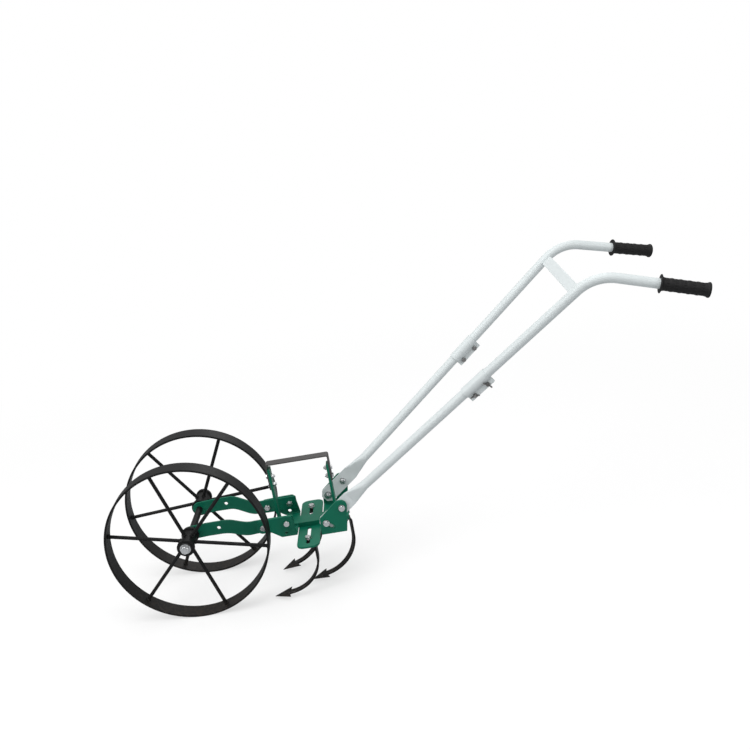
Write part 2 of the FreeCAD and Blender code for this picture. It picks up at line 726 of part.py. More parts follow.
def near_upper_tube():
    run, grip = handle_dirs()
    corner = on_run(CORNER_AT)
    half = run.getAngle(grip) / 2
    reach = BEND_R * math.tan(half)
    first = corner - run * reach
    last = corner + grip * reach
    middle = corner + (grip - run).normalize() * (BEND_R / math.cos(half) - BEND_R)
    start = on_run(SLEEVE_AT + 1)
    end = on_grip(GRIP_AT + GRIP_LONG - 4)
    path = Part.Wire([Part.makeLine(start, first), Part.Arc(first, middle, last).toShape(),
                      Part.makeLine(last, end)])
    solids = []
    for radius in (TUBE_R, TUBE_R - TUBE_WALL):
        ring = Part.Wire(Part.makeCircle(radius, start, run))
        solids.append(path.makePipeShell([ring], True, False))
    return solids[0].cut(solids[1])


def sleeve_frame():
    """Middle, along, down and sideways directions of the near clamp sleeve."""
    run = handle_dirs()[0]
    down = V(0, 0, -1) - run * V(0, 0, -1).dot(run)
    down.normalize()
    return on_run(SLEEVE_AT), run, down, run.cross(down)


def near_clamp_sleeve():
    middle, run, down, side = sleeve_frame()
    half = run * (SLEEVE_LONG / 2)
    sleeve = cylinder(middle - half, middle + half, SLEEVE_R)
    wide = EAR_GAP / 2 + EAR_THICK

    def block(half_wide, top, drop):
        spots = ((-half_wide, top), (half_wide, top), (half_wide, drop), (-half_wide, drop))
        corners = [middle - half + side * out + down * below for out, below in spots]
        return Part.Face(Part.makePolygon(corners + [corners[0]])).extrude(run * SLEEVE_LONG)

    bore = cylinder(middle - half, middle + half, TUBE_R)
    sleeve = sleeve.fuse(block(wide, 0, EAR_DROP))
    sleeve = sleeve.cut([block(EAR_GAP / 2, 1, EAR_DROP + 1), bore])
    holes = []
    for step in (-1, 1):
        centre = middle + run * (step * CLAMP_BOLT_STEP) + down * CLAMP_BOLT_DROP
        holes.append(cylinder(centre - side * 20, centre + side * 20, M6["r"] + CLEAR))
    return sleeve.cut(holes).removeSplitter()


def wing_nut(face, axis, turn_deg):
    """Wing nut standing on face along axis, its wings rising from level by turn_deg."""
    axis = V(axis).normalize()
    turn = math.radians(turn_deg)
    along = V(math.cos(turn), 0, math.sin(turn))
    along = (along - axis * along.dot(axis)).normalize()
    side = axis.cross(along)
    body = Part.makeCone(5.2, 4.2, WING_HUB, face, axis)
    for end in (-1, 1):
        corners = outline([(3.4, 1.0, 0), (9.6, 5.6, 1.5), (11.2, 8.4, 1.2), (10.4, 11.0, 1.2),
                           (8.2, 10.6, 1.2), (3.4, 5.2, 0)],
                          lambda p: face + along * (end * p.x) + axis * p.y - side * (WING_THICK / 2))
        body = body.fuse(Part.Face(corners).extrude(side * WING_THICK))
    bore = cylinder(face - axis, face + axis * (WING_HUB + 1), M6["r"])
    return body.removeSplitter().cut(bore)


def near_clamp_fasteners():
    middle, run, down, side = sleeve_frame()
    wide = EAR_GAP / 2 + EAR_THICK
    bolts = []
    nuts = []
    for step in (-1, 1):
        centre = middle + run * (step * CLAMP_BOLT_STEP) + down * CLAMP_BOLT_DROP
        out = side if side.y > 0 else side * -1
        bolts.append(bolt(centre + out * wide, out * -1, 2 * wide, M6))
        nuts.append(wing_nut(centre - out * wide, out * -1, WING_TURNS[step]))
    return bolts, nuts


def both_sides(shapes):
    return group(shapes + [mirrored(s) for s in shapes])


def crossbar():
    """Flat bar between the handles, its ends hollowed to sit on the tubes."""
    run = handle_dirs()[0]
    centre = on_run(CROSSBAR_AT)
    along, across = slope_frame()
    half = CROSSBAR_WIDE / 2
    low = V(centre.x, 0, centre.z) - along * half - across * (CROSSBAR_THICK / 2)
    reach = abs(centre.y)
    corners = [V(low.x, -reach, low.z), V(low.x, reach, low.z)]
    shift = along * CROSSBAR_WIDE
    face = Part.Face(Part.makePolygon([corners[0], corners[1], corners[1] + shift, corners[0] + shift,
                                       corners[0]]))
    bar = face.extrude(across * CROSSBAR_THICK)
    tube_near = cylinder(centre - run * 60, centre + run * 60, TUBE_R)
    return bar.cut([tube_near, mirrored(tube_near)])


def near_grip():
    grip = handle_dirs()[1]
    start = on_grip(GRIP_AT)
    body = cylinder(start, start + grip * GRIP_LONG, GRIP_R)
    flange = cylinder(start, start + grip * 4.0, GRIP_FLANGE_R)
    lip = cylinder(start + grip * (GRIP_LONG - 7.0), start + grip * GRIP_LONG, GRIP_LIP_R)
    shape = body.fuse([flange, lip]).removeSplitter()
    return shape.cut(cylinder(start - grip, start + grip * (GRIP_LONG - 4.0), TUBE_R))


def pivot_side(side, point, washer_r):
    """Bolt head outside the rear side plate, nut inside the foot, for one side."""
    x, z = point
    out = V(0, side, 0)
    outer = V(x, side * (REAR_PLATE_Y + BAR), z)
    inner = V(x, side * (REAR_PLATE_Y - FOOT_GAP - FOOT_THICK), z)
    size = dict(M8, washer_r=washer_r)
    head_seat = outer + out * (CLEAR + size["washer"])
    outer_washer = washer(outer + out * CLEAR, out, M8)
    inner_washer = washer(inner, out * -1, size)
    grip = abs(head_seat.y - inner.y) + size["washer"]
    shank = bolt(head_seat, out * -1, grip, size)
    return shank, [outer_washer, inner_washer], nut(inner - out * size["washer"], out * -1, size)


def pair(point, washer_r, which):
    picked = []
    for side in (-1, 1):
        item = pivot_side(side, point, washer_r)[which]
        picked.extend(item if isinstance(item, list) else [item])
    return group(picked)


def build():
    """Every node by name."""
    tool_low = DECK_Z - TOOL_THICK
    parts = {
        "near_wheel_rim": wheel_rim(-1),
        "near_wheel_spokes": wheel_spokes(-1, NEAR_SPOKE_DEG),
        "near_wheel_hub": wheel_hub(-1),
        "near_wheel_bushes": wheel_bushes(-1),
        "far_wheel_rim": wheel_rim(1),
        "far_wheel_spokes": wheel_spokes(1, FAR_SPOKE_DEG),
        "far_wheel_hub": wheel_hub(1),
        "far_wheel_bushes": wheel_bushes(1),
        "axle": axle(),
        "axle_spacer": axle_spacer(),
        "axle_washers": axle_washers(),
        "axle_nuts": axle_nuts(),
        "near_arm": near_arm(),
        "far_arm": mirrored(near_arm()),
        "near_front_plate": near_front_plate(),
        "far_front_plate": mirrored(near_front_plate()),
        "arm_bolts": arm_bolts(),
        "arm_nuts": arm_nuts(),
        "front_cross_plates": front_cross_plates(),
        "rear_cross_plates": rear_cross_plates(),
        "near_rear_plate": near_rear_plate(),
        "far_rear_plate": mirrored(near_rear_plate()),
        "centre_beam": centre_beam(),
        "tool_plate": tool_plate(),
        "front_upright": front_upright(),
        "rear_upright": rear_upright(),
        "upright_bolts": upright_bolts(),
        "top_strap": top_strap(),
        "strap_bolts": strap_bolts(),
        "small_frame_nuts": small_frame_nuts(),
        "near_tine": tine(SLOT_X, -FRONT_TINE_Y, tool_low, NEAR_TINE_TURN),
        "near_tine_bolt": tine_bolt(SLOT_X, -FRONT_TINE_Y, DECK_Z, tool_low),
        "near_tine_washer": tine_washer(SLOT_X, -FRONT_TINE_Y, DECK_Z),
        "near_tine_nut": tine_nut(SLOT_X, -FRONT_TINE_Y, tool_low),
        "far_tine": tine(SLOT_X, FRONT_TINE_Y, tool_low, FAR_TINE_TURN),
        "far_tine_bolt": tine_bolt(SLOT_X, FRONT_TINE_Y, DECK_Z, tool_low),
        "far_tine_washer": tine_washer(SLOT_X, FRONT_TINE_Y, DECK_Z),
        "far_tine_nut": tine_nut(SLOT_X, FRONT_TINE_Y, tool_low),
        "rear_tine": tine(REAR_TINE_BOLT_X, 0, DECK_Z, REAR_TINE_TURN),
        "rear_tine_bolt": tine_bolt(REAR_TINE_BOLT_X, 0, BEAM_TOP_Z, DECK_Z),
        "rear_tine_washer": tine_washer(REAR_TINE_BOLT_X, 0, BEAM_TOP_Z),
        "rear_tine_nut": tine_nut(REAR_TINE_BOLT_X, 0, DECK_Z),
        "near_lower_tube": near_lower_tube(),
        "far_lower_tube": mirrored(near_lower_tube()),
        "near_upper_tube": near_upper_tube(),
        "far_upper_tube": mirrored(near_upper_tube()),
        "near_clamp_sleeve": near_clamp_sleeve(),
        "far_clamp_sleeve": mirrored(near_clamp_sleeve()),
        "clamp_bolts": both_sides(near_clamp_fasteners()[0]),
        "clamp_nuts": both_sides(near_clamp_fasteners()[1]),
        "crossbar": crossbar(),
        "near_grip": near_grip(),
        "far_grip": mirrored(near_grip()),
        "pivot_bolts": pair(PIVOT, M8["washer_r"], 0),
        "pivot_washers": pair(PIVOT, M8["washer_r"], 1),
        "pivot_nuts": pair(PIVOT, M8["washer_r"], 2),
        "lock_bolts": pair(LOCK, LOCK_WASHER_R, 0),
        "lock_washers": pair(LOCK, LOCK_WASHER_R, 1),
        "lock_nuts": pair(LOCK, LOCK_WASHER_R, 2),
    }
    return parts


def stand(shape, shift):
    """The shape turned and moved from the level frame to its stance on the ground."""
    placed = shape.copy()
    placed.rotate(V(0, 0, 0), V(0, 1, 0), -STAND_DEG)
    placed.translate(shift)
    return placed


def main():
    os.makedirs("parts", exist_ok=True)
    parts = build()
    turned = [stand(shape, V(0, 0, WHEEL_R)) for shape in parts.values()]
    box = Part.makeCompound(turned).optimalBoundingBox(False, False)
    shift = V(-(box.XMin + box.XMax) / 2, 0, WHEEL_R)
    print("nodes", len(parts), "shift", shift, "box", box)
    places = {"axle": (0, 0), "pivot": PIVOT, "arm hole": (ARM_HOLE_X, ARM_HOLE_Z),
              "plate spare hole": PLATE_SPARE_HOLE, "slot": (SLOT_X, DECK_Z)}
    for name, (x, z) in places.items():
        point = Part.Vertex(V(x, 0, z))
        print(name, stand(point, shift).Point)
    for name, shape in parts.items():
        placed = stand(shape, shift)
        print(name, "solids", len(placed.Solids), "cm3", round(placed.Volume / 1000, 2),
              "valid", placed.isValid())
        placed.exportStep(os.path.join("parts", name + ".step"))


main()
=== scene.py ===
import json
import math

import bmesh
import bpy
import numpy as np
from mathutils import Matrix, Vector


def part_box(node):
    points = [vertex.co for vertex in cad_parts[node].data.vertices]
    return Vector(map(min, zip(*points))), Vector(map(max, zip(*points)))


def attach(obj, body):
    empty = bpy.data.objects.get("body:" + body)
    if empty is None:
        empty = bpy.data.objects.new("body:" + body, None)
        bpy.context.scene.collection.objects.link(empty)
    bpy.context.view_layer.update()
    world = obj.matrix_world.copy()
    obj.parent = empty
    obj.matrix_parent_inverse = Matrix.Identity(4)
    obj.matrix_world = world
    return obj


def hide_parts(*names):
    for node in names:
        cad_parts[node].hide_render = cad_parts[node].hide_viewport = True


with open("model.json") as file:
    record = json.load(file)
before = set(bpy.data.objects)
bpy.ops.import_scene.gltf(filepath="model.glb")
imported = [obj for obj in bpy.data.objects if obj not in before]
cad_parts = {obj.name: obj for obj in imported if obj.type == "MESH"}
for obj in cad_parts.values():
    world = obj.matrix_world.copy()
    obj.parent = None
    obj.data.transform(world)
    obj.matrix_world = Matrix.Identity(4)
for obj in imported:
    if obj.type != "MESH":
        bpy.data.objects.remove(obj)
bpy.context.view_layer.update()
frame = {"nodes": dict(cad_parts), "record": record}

bl_info = {
    "name": "Double-wheel hand cultivator",
    "version": (1, 0, 0),
    "blender": (4, 5, 0),
    "location": "View3D > Sidebar > Cultivator",
    "description": "Paint, welds, threads, grips, tines and wheels of a double-wheel hand cultivator",
    "category": "Object",
}

# The frame -----------------------------------------------------------

NODES = frame["nodes"]
RECORD = frame["record"]
BODIES = RECORD["behaviour"]["bodies"]
SLOT_OF = {part["node"]: part["material_slot"] for part in RECORD["subparts"]}
SIDES = ("near", "far")
MM = 0.001
MERGE = 0.03 * MM  # corners closer than this are one corner
FLAT = math.radians(1)  # faces that turn less than this are one face
SHARP = 35  # edges that turn by more degrees than this stay sharp


def body_of(node):
    """The moving body that a node belongs to."""
    for body, nodes in BODIES.items():
        if node in nodes:
            return body
    raise KeyError(node)


def named(entries, name):
    return next(entry for entry in entries if entry["name"] == name)


HUB_PLACE = named(RECORD["behaviour"]["joints"], "near_wheel_spin")["pos_m"]
AXLE = Vector((HUB_PLACE[0], 0, HUB_PLACE[2]))  # the middle of the axle
# The frame stands with its rear end raised a little. DOWN and BACK are its own directions.
DOWN = Vector(named(RECORD["mounts"], "near_tool_slot")["axis"]).normalized()
BACK = Vector((-DOWN.z, 0, DOWN.x))
ACROSS = Vector((0, 1, 0))


def middle(node):
    low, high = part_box(node)
    return (Vector(low) + Vector(high)) / 2


def span(node, axis):
    low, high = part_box(node)
    return high[axis] - low[axis]


def welded_copy(node):
    """A node's mesh as a bmesh with its doubled corners merged."""
    shape = bmesh.new()
    shape.from_mesh(NODES[node].data)
    bmesh.ops.remove_doubles(shape, verts=shape.verts, dist=MERGE)
    return shape


def flat_copy(node):
    """A merged copy of a node's mesh, with each flat face in one piece."""
    shape = welded_copy(node)
    bmesh.ops.dissolve_limit(shape, angle_limit=FLAT, verts=shape.verts, edges=shape.edges)
    return shape


def solids_of(node):
    """The corners of each separate solid in a node, as arrays."""
    shape = welded_copy(node)
    left = set(shape.verts)
    solids = []
    while left:
        queue = [left.pop()]
        found = list(queue)
        while queue:
            for edge in queue.pop().link_edges:
                for corner in edge.verts:
                    if corner in left:
                        left.remove(corner)
                        queue.append(corner)
                        found.append(corner)
        solids.append(np.array([corner.co[:] for corner in found]))
    shape.free()
    solids.sort(key=lambda points: tuple(np.round(points.mean(axis=0), 4)))
    return solids


def long_axis(points):
    """Start, end and direction of the longest run through a set of points."""
    centre = points.mean(axis=0)
    along = np.linalg.svd(points - centre, full_matrices=False)[2][0]
    reach = (points - centre) @ along
    return Vector(centre + along * reach.min()), Vector(centre + along * reach.max()), Vector(along)


def turned_to(axis, place):
    """Matrix that carries +Z to axis and the origin to place."""
    return Matrix.Translation(place) @ Vector((0, 0, 1)).rotation_difference(axis).to_matrix().to_4x4()


# Sizes and colours a user may change ---------------------------------

def length(name, description, default):
    return number(name, description, default, min=0, precision=5, unit="LENGTH")


def number(name, description, default, **limits):
    return bpy.props.FloatProperty(name=name, description=description, default=default, **limits)


def degrees(name, description, default):
    return number(name, description, math.radians(default), subtype="ANGLE")


def quantity(name, description, default, **limits):
    return bpy.props.IntProperty(name=name, description=description, default=default, **limits)


def colour(name, description, default):
    return bpy.props.FloatVectorProperty(name=name, description=description, default=default,
                                         subtype="COLOR", size=3, min=0, max=1)


class WheelSizes(bpy.types.PropertyGroup):
    edge: length("Rim edge", "Rounding of the rim's four edges", 0.9 * MM)
    rim_thick: length("Rim thickness", "Thickness of the rim's flat bar", 5 * MM)
    hub_edge: length("Hub edge", "Rounding of the hub's edges", 0.8 * MM)
    collar: length("Collar", "Length of the thicker stretch at each end of a hub", 9 * MM)
    hub_radius: length("Hub radius", "Radius of a hub between its collars", 17 * MM)
    bore: length("Bore", "Radius of a hub's bore", 9 * MM)
    steps: quantity("Steps", "Faces round a rim", 180, min=24)


class TineSizes(bpy.types.PropertyGroup):
    thick: length("Thickness", "Thickness of a tine's bar", 5 * MM)
    tab: length("Tab width", "Width of the tab under the bolt", 25 * MM)
    neck: length("Neck width", "Width of the bar where it meets the head", 15 * MM)
    bend: length("Bend", "Radius of the bend between the tab and the leg", 7 * MM)
    sweep: length("Sweep", "Radius of the forward curve", 87 * MM)
    sweep_angle: degrees("Sweep angle", "Turn of the forward curve", 82)
    reach: length("Reach", "From the bolt back to the leg", 14 * MM)
    front: length("Tab front", "From the bolt to the front end of the tab", 14 * MM)
    straight: length("Straight", "Straight stretch between the curve and the head", 8 * MM)
    head: length("Head length", "Length of the arrow head", 38 * MM)
    head_wide: length("Head width", "Width of the arrow head over its barbs", 45 * MM)
    ridge: length("Ridge", "Height of the arrow head's ridge over its middle plane", 3.4 * MM)
    lip: length("Lip", "Half thickness of the arrow head's cutting edge", 0.6 * MM)


class GripSizes(bpy.types.PropertyGroup):
    body: length("Body", "Mean radius of the grip between flange and lip", 13.7 * MM)
    wave: length("Wave", "Height of the finger waves", 0.7 * MM)
    waves: quantity("Waves", "Finger waves along a grip", 5, min=1)
    flange: length("Flange", "Thickness of the inner flange", 3 * MM)
    lip: length("Lip", "Radius of the outer lip", 16.3 * MM)
    tube: length("Tube", "Radius of the tube inside", 11 * MM)
    pads: quantity("Pads", "Raised pads round a grip", 14, min=3)
    pad_high: length("Pad height", "Height of a pad over the grip's body", 0.45 * MM)


class WeldSizes(bpy.types.PropertyGroup):
    bead: length("Bead", "Half width of a weld bead", 1.5 * MM)
    step: length("Step", "Distance between the ripples of a bead", 1.3 * MM)
    seed: quantity("Seed", "Seed of the ripples' sizes", 7)


class ThreadSizes(bpy.types.PropertyGroup):
    pitch: length("Pitch", "Distance between thread crests", 1.1 * MM)
    turns: quantity("Turns", "Crests on a bolt's free end", 3, min=1)
    proud: length("Proud", "Height of a crest over the shank", 0.22 * MM)


class EdgeSizes(bpy.types.PropertyGroup):
    plate: length("Plate edge", "Rounding of the painted plates' edges", 0.7 * MM)
    strap: length("Strap edge", "Rounding of the strap's edges", 0.5 * MM)
    bar: length("Bar edge", "Rounding of the crossbar and the clamp sleeves", 0.5 * MM)


class PaintColours(bpy.types.PropertyGroup):
    black: colour("Black", "Paint of the wheels and tines", (0.0042, 0.0042, 0.0045))
    # Painted sheen: the strap is taken as the wheels' black paint, set lighter to stand in for the
    # bright reflection on its top face.
    strap: colour("Strap", "Paint of the top strap", (0.042, 0.040, 0.039))
    green: colour("Green", "Powder coat of the frame", (0.001, 0.125, 0.072))
    white: colour("White", "Powder coat of the handles", (0.62, 0.665, 0.67))
    rubber: colour("Rubber", "Rubber of the grips", (0.0036, 0.0036, 0.0039))
    zinc: colour("Zinc", "Plating of the bolts and nuts", (0.66, 0.67, 0.68))
    steel: colour("Dark steel", "Clamp bolts and wing nuts", (0.34, 0.335, 0.33))
    nylon: colour("Nylon", "Wheel bushes", (0.016, 0.016, 0.017))
    floor: colour("Floor", "Floor under the cultivator", (0.86, 0.86, 0.86))


class StageSizes(bpy.types.PropertyGroup):
    tilt: degrees("Tilt", "Lean of the camera about the axle", 7.5)
    yaw: degrees("Yaw", "Turn of the camera to the right", 0.9)
    pitch: degrees("Pitch", "Fall of the camera's view", 18.43)
    place: bpy.props.FloatVectorProperty(name="Place", description="Camera from the axle's middle",
                                         default=(0.4045, -2.0824, 1.0657), subtype="TRANSLATION")
    lens: number("Lens", "Focal length in millimetres", 45.46)
    floor: length("Floor", "Radius of the floor", 40.0)
    fade_start: length("Fade start", "Where the floor starts to fade into the background", 0.6)
    fade_end: length("Fade end", "Where the floor has become the background", 2.4)
    sky: number("Sky", "Brightness of the background", 1.0)
    shed: number("High light", "Light that falls from overhead", 0.72)
    low_shed: number("Low light", "Light that comes in level", 0.38)
    bounce: colour("Bounce", "How much light the floor throws back up", (0.46, 0.47, 0.48))
    glow: number("Floor glow", "Share of the floor's own light", 0.62, min=0, max=1)


# Node trees ----------------------------------------------------------

def first_output(value):
    return value.outputs[0] if isinstance(value, bpy.types.Node) else value


class Net:
    """A node tree being built. A node given as an input stands for its own first output."""

    def __init__(self, tree):
        self.tree = tree

    def add(self, kind, inputs=None, **settings):
        node = self.tree.nodes.new(kind)
        for key, value in settings.items():
            setattr(node, key, value)
        for key, value in (inputs or {}).items():
            value = first_output(value)
            if isinstance(value, bpy.types.NodeSocket):
                self.tree.links.new(value, node.inputs[key])
            else:
                node.inputs[key].default_value = value
        return node

    def maths(self, operation, *values):
        return self.add("ShaderNodeMath", dict(enumerate(values)), operation=operation).outputs[0]

    def place(self):
        return self.add("ShaderNodeTexCoord").outputs["Object"]

    def noise(self, place, scale, detail, roughness=0.5):
        return self.add("ShaderNodeTexNoise", {"Vector": place, "Scale": scale, "Detail": detail,
                                               "Roughness": roughness}).outputs[0]

    def spread(self, value, low, high, least=0.0, most=1.0, **settings):
        """A value carried from one range to another."""
        return self.add("ShaderNodeMapRange", {"Value": value, "From Min": low, "From Max": high,
                                               "To Min": least, "To Max": most}, **settings).outputs[0]

    def feed(self, node, **sockets):
        """Joins sockets to a node's inputs."""
        for label, socket in sockets.items():
            self.tree.links.new(first_output(socket), node.inputs[label.replace("_", " ")])


SOCKETS = {float: "NodeSocketFloat", int: "NodeSocketInt"}


def group_tree(name, kind, output, inputs):
    """A new node group's net, what it is given and its output node. An input without a default
    value has the kind of its socket instead."""
    tree = bpy.data.node_groups.new(name, kind)
    for label, value in inputs.items():
        if isinstance(value, str):
            tree.interface.new_socket(label, in_out="INPUT", socket_type=value)
        else:
            made = tree.interface.new_socket(label, in_out="INPUT", socket_type=SOCKETS[type(value)])
            made.default_value = value
    label, socket = output
    tree.interface.new_socket(label, in_out="OUTPUT", socket_type=socket)
    net = Net(tree)
    return net, net.add("NodeGroupInput").outputs, net.add("NodeGroupOutput")


def mask_tree(name, output, **inputs):
    """A new shader group that puts out one number. Its inputs are numbers too."""
    numbers = {label.replace("_", " "): value for label, value in inputs.items()}
    return group_tree(name, "ShaderNodeTree", (output, "NodeSocketFloat"), numbers)


def shape_tree(name, inputs):
    """A new geometry tree that takes a mesh and a material and puts out a mesh."""
    ends = {"Geometry": "NodeSocketGeometry", **inputs, "Material": "NodeSocketMaterial"}
    return group_tree(name, "GeometryNodeTree", ("Geometry", "NodeSocketGeometry"), ends)


def shader_groups():
    """The effects that several finishes share, by name."""
    groups = {}

    # Low, wide drift of tone over a surface.
    net, given, result = mask_tree("Tone drift", "Drift", Scale=9.0, Streak=1.0)
    stretch = net.add("ShaderNodeCombineXYZ", {0: given["Streak"], 1: 1.0, 2: 1.0})
    drawn = net.add("ShaderNodeVectorMath", {0: net.place(), 1: stretch}, operation="MULTIPLY")
    net.feed(result, Drift=net.noise(drawn, given["Scale"], 5.0, 0.6))
    groups["drift"] = net.tree

    # Orange peel of a sprayed or powder coat: a height.
    net, given, result = mask_tree("Coat peel", "Height", Scale=700.0, Grit=0.3)
    place = net.place()
    peel = net.noise(place, given["Scale"], 2.0)
    grit = net.noise(place, net.maths("MULTIPLY", given["Scale"], 4.0), 3.0)
    rough = net.maths("MULTIPLY", grit, given["Grit"])
    net.feed(result, Height=net.maths("ADD", peel, rough))
    groups["peel"] = net.tree

    # Paint rubbed off along the edges: a mask.
    net, given, result = mask_tree("Edge rub", "Mask", Radius=0.0012, Amount=0.5, Patch_Scale=60.0)
    round_off = net.add("ShaderNodeBevel", {"Radius": given["Radius"]}, samples=6)
    flat = net.add("ShaderNodeNewGeometry").outputs["Normal"]
    agree = net.add("ShaderNodeVectorMath", {0: round_off, 1: flat},
                    operation="DOT_PRODUCT").outputs["Value"]
    edge = net.spread(agree, 0.995, 0.90)
    torn = net.spread(net.noise(net.place(), given["Patch Scale"], 6.0, 0.7), 0.52, 0.64)
    worn = net.maths("MULTIPLY", net.maths("MULTIPLY", edge, torn), given["Amount"])
    net.feed(result, Mask=worn)
    groups["rub"] = net.tree

    # Dry soil: more of it low down, in soft specks.
    net, given, result = mask_tree("Dry soil", "Mask", Top=0.12, Amount=0.3)
    place = net.place()
    rise = net.add("ShaderNodeSeparateXYZ", {0: place}).outputs[2]
    low = net.spread(rise, given["Top"], 0.0)
    specks = net.spread(net.noise(place, 130.0, 7.0, 0.75), 0.45, 0.75)
    net.feed(result, Mask=net.maths("MULTIPLY", net.maths("MULTIPLY", low, specks),
                                    given["Amount"]))
    groups["soil"] = net.tree
    return groups


GROUPS = {}
FINISHES = {}
BARE_STEEL = (0.35, 0.34, 0.33)
SOIL = (0.17, 0.12, 0.08)


def placed_group(net, key, **values):
    """One of the shared effects, placed in a material with its own values."""
    node = net.add("ShaderNodeGroup", node_tree=GROUPS[key])
    for label, value in values.items():
        node.inputs[label.replace("_", " ").title()].default_value = value
    return node.outputs[0]


def mixed(net, mask, first, second):
    """Two colours mixed by a mask."""
    node = net.add("ShaderNodeMix", data_type="RGBA")
    for socket, value in ((0, mask), (6, first), (7, second)):
        if isinstance(value, bpy.types.NodeSocket):
            net.tree.links.new(value, node.inputs[socket])
        else:
            node.inputs[socket].default_value = (*value, 1.0)
    return node.outputs[2]


def shade(tint, factor):
    return tuple(min(1.0, part * factor) for part in tint)


def new_finish(name):
    """A fresh material, its net and its shader."""
    material = bpy.data.materials.new(name)
    material.use_nodes = True
    net = Net(material.node_tree)
    shader = material.node_tree.nodes["Principled BSDF"]
    FINISHES[name] = material
    return net, shader


def coat_finish(name, tint, gloss, specular=0.5, drift=0.18, rub=0.0, soil=0.0, peel=0.012):
    """Paint or powder coat: tone drift, orange peel, rubbed edges and dry soil."""
    net, shader = new_finish(name)
    tone = placed_group(net, "drift", scale=11.0)
    base = mixed(net, tone, shade(tint, 1 - drift), shade(tint, 1 + drift))
    worn = placed_group(net, "rub", amount=rub, radius=0.0011)
    base = mixed(net, worn, base, BARE_STEEL)
    dusty = placed_group(net, "soil", amount=soil)
    base = mixed(net, dusty, base, SOIL)
    fine = placed_group(net, "drift", scale=140.0)
    rough = net.maths("ADD", net.spread(fine, 0.0, 1.0, gloss - 0.08, gloss + 0.1),
                      net.maths("MULTIPLY", dusty, 0.3))
    height = placed_group(net, "peel", scale=650.0, grit=0.25)
    bump = net.add("ShaderNodeBump", {"Height": height, "Strength": 0.5, "Distance": peel * MM})
    net.feed(shader, Base_Color=base, Roughness=rough, Metallic=worn, Normal=bump)
    shader.inputs["Specular IOR Level"].default_value = specular


def plated_finish(name, tint, gloss, dull):
    """Plated or blackened metal with fine drawn grain and duller patches."""
    net, shader = new_finish(name)
    tone = placed_group(net, "drift", scale=90.0)
    base = mixed(net, tone, shade(tint, 0.72), shade(tint, 1.15))
    stain = placed_group(net, "drift", scale=35.0, streak=3.0)
    base = mixed(net, net.spread(stain, 0.55, 0.75), base, dull)
    rough = net.spread(tone, 0.0, 1.0, gloss - 0.1, gloss + 0.14)
    height = placed_group(net, "peel", scale=1800.0, grit=0.6)
    bump = net.add("ShaderNodeBump", {"Height": height, "Strength": 0.6, "Distance": 0.008 * MM})
    net.feed(shader, Base_Color=base, Roughness=rough, Normal=bump)
    shader.inputs["Metallic"].default_value = 1.0


def moulded_finish(name, tint, gloss, grain, bloom, specular=0.5):
    """Moulded rubber or nylon: fine grain and patches of another depth of the same colour."""
    net, shader = new_finish(name)
    tone = placed_group(net, "drift", scale=60.0)
    base = mixed(net, tone, tint, shade(tint, bloom))
    rough = net.spread(tone, 0.0, 1.0, gloss - 0.08, gloss + 0.12)
    height = placed_group(net, "peel", scale=1500.0, grit=0.8)
    bump = net.add("ShaderNodeBump", {"Height": height, "Strength": 0.8, "Distance": grain * MM})
    net.feed(shader, Base_Color=base, Roughness=rough, Normal=bump)
    shader.inputs["Specular IOR Level"].default_value = specular


def make_finishes(paints):
    """Every finish, named as the record's material slots are."""
    GROUPS.update(shader_groups())
    coat_finish("black_paint", paints.black, 0.5, specular=0.22, drift=0.25, rub=0.35, soil=0.25,
                peel=0.02)
    # The strap's coat is lighter than the black paint: a painted sheen for the reflection on its top
    # face.
    coat_finish("dark_grey_paint", paints.strap, 0.5, drift=0.2, rub=0.3)
    coat_finish("green_paint", paints.green, 0.42, specular=0.22, drift=0.14, rub=0.25, soil=0.1)
    coat_finish("white_coat", paints.white, 0.36, specular=0.45, drift=0.05, rub=0.1)
    plated_finish("zinc_plate", paints.zinc, 0.25, (0.36, 0.34, 0.29))
    plated_finish("dark_steel", paints.steel, 0.42, (0.06, 0.055, 0.05))
    moulded_finish("grip_rubber", paints.rubber, 0.6, 0.05, 1.9, specular=0.3)
    moulded_finish("bush_nylon", paints.nylon, 0.5, 0.02, 0.85)


# Making pieces -------------------------------------------------------

def add_piece(name, mesh, body, slot):
    """Links a finished mesh, which is already in place, as a piece of the cultivator."""
    mesh.name = name
    mesh.materials.clear()
    mesh.materials.append(FINISHES[slot])
    piece = bpy.data.objects.new(name, mesh)
    bpy.context.scene.collection.objects.link(piece)
    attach(piece, body)
    return piece


def stand_in(name, mesh, node):
    """A piece shown in place of a CAD node, on its body and in its finish."""
    piece = add_piece(name, mesh, body_of(node), SLOT_OF[node])
    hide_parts(node)
    return piece


def to_mesh(shape, name, sharp=SHARP):
    """A bmesh as a mesh, smooth but for its sharp edges, with even shading on flat faces."""
    bmesh.ops.recalc_face_normals(shape, faces=shape.faces)
    mesh = bpy.data.meshes.new(name)
    shape.to_mesh(mesh)
    shape.free()
    mesh.polygons.foreach_set("use_smooth", [True] * len(mesh.polygons))
    mesh.set_sharp_from_angle(angle=math.radians(sharp))
    carrier = bpy.data.objects.new("carrier", mesh)
    bpy.context.scene.collection.objects.link(carrier)
    weighted = carrier.modifiers.new("Weighted", "WEIGHTED_NORMAL")
    weighted.keep_sharp = True
    finished = evaluated_mesh(carrier)
    bpy.data.objects.remove(carrier)
    return finished


def evaluated_mesh(carrier):
    graph = bpy.context.evaluated_depsgraph_get()
    graph.update()
    return bpy.data.meshes.new_from_object(carrier.evaluated_get(graph), depsgraph=graph)


def softened(node, width):
    """A node's mesh with its sharp edges rounded."""
    shape = flat_copy(node)
    sharp = [edge for edge in shape.edges
             if len(edge.link_faces) == 2 and edge.calc_face_angle() > math.radians(SHARP)]
    bmesh.ops.bevel(shape, geom=sharp, offset=width, segments=2, profile=0.5, affect="EDGES",
                    clamp_overlap=True)
    return to_mesh(shape, node)


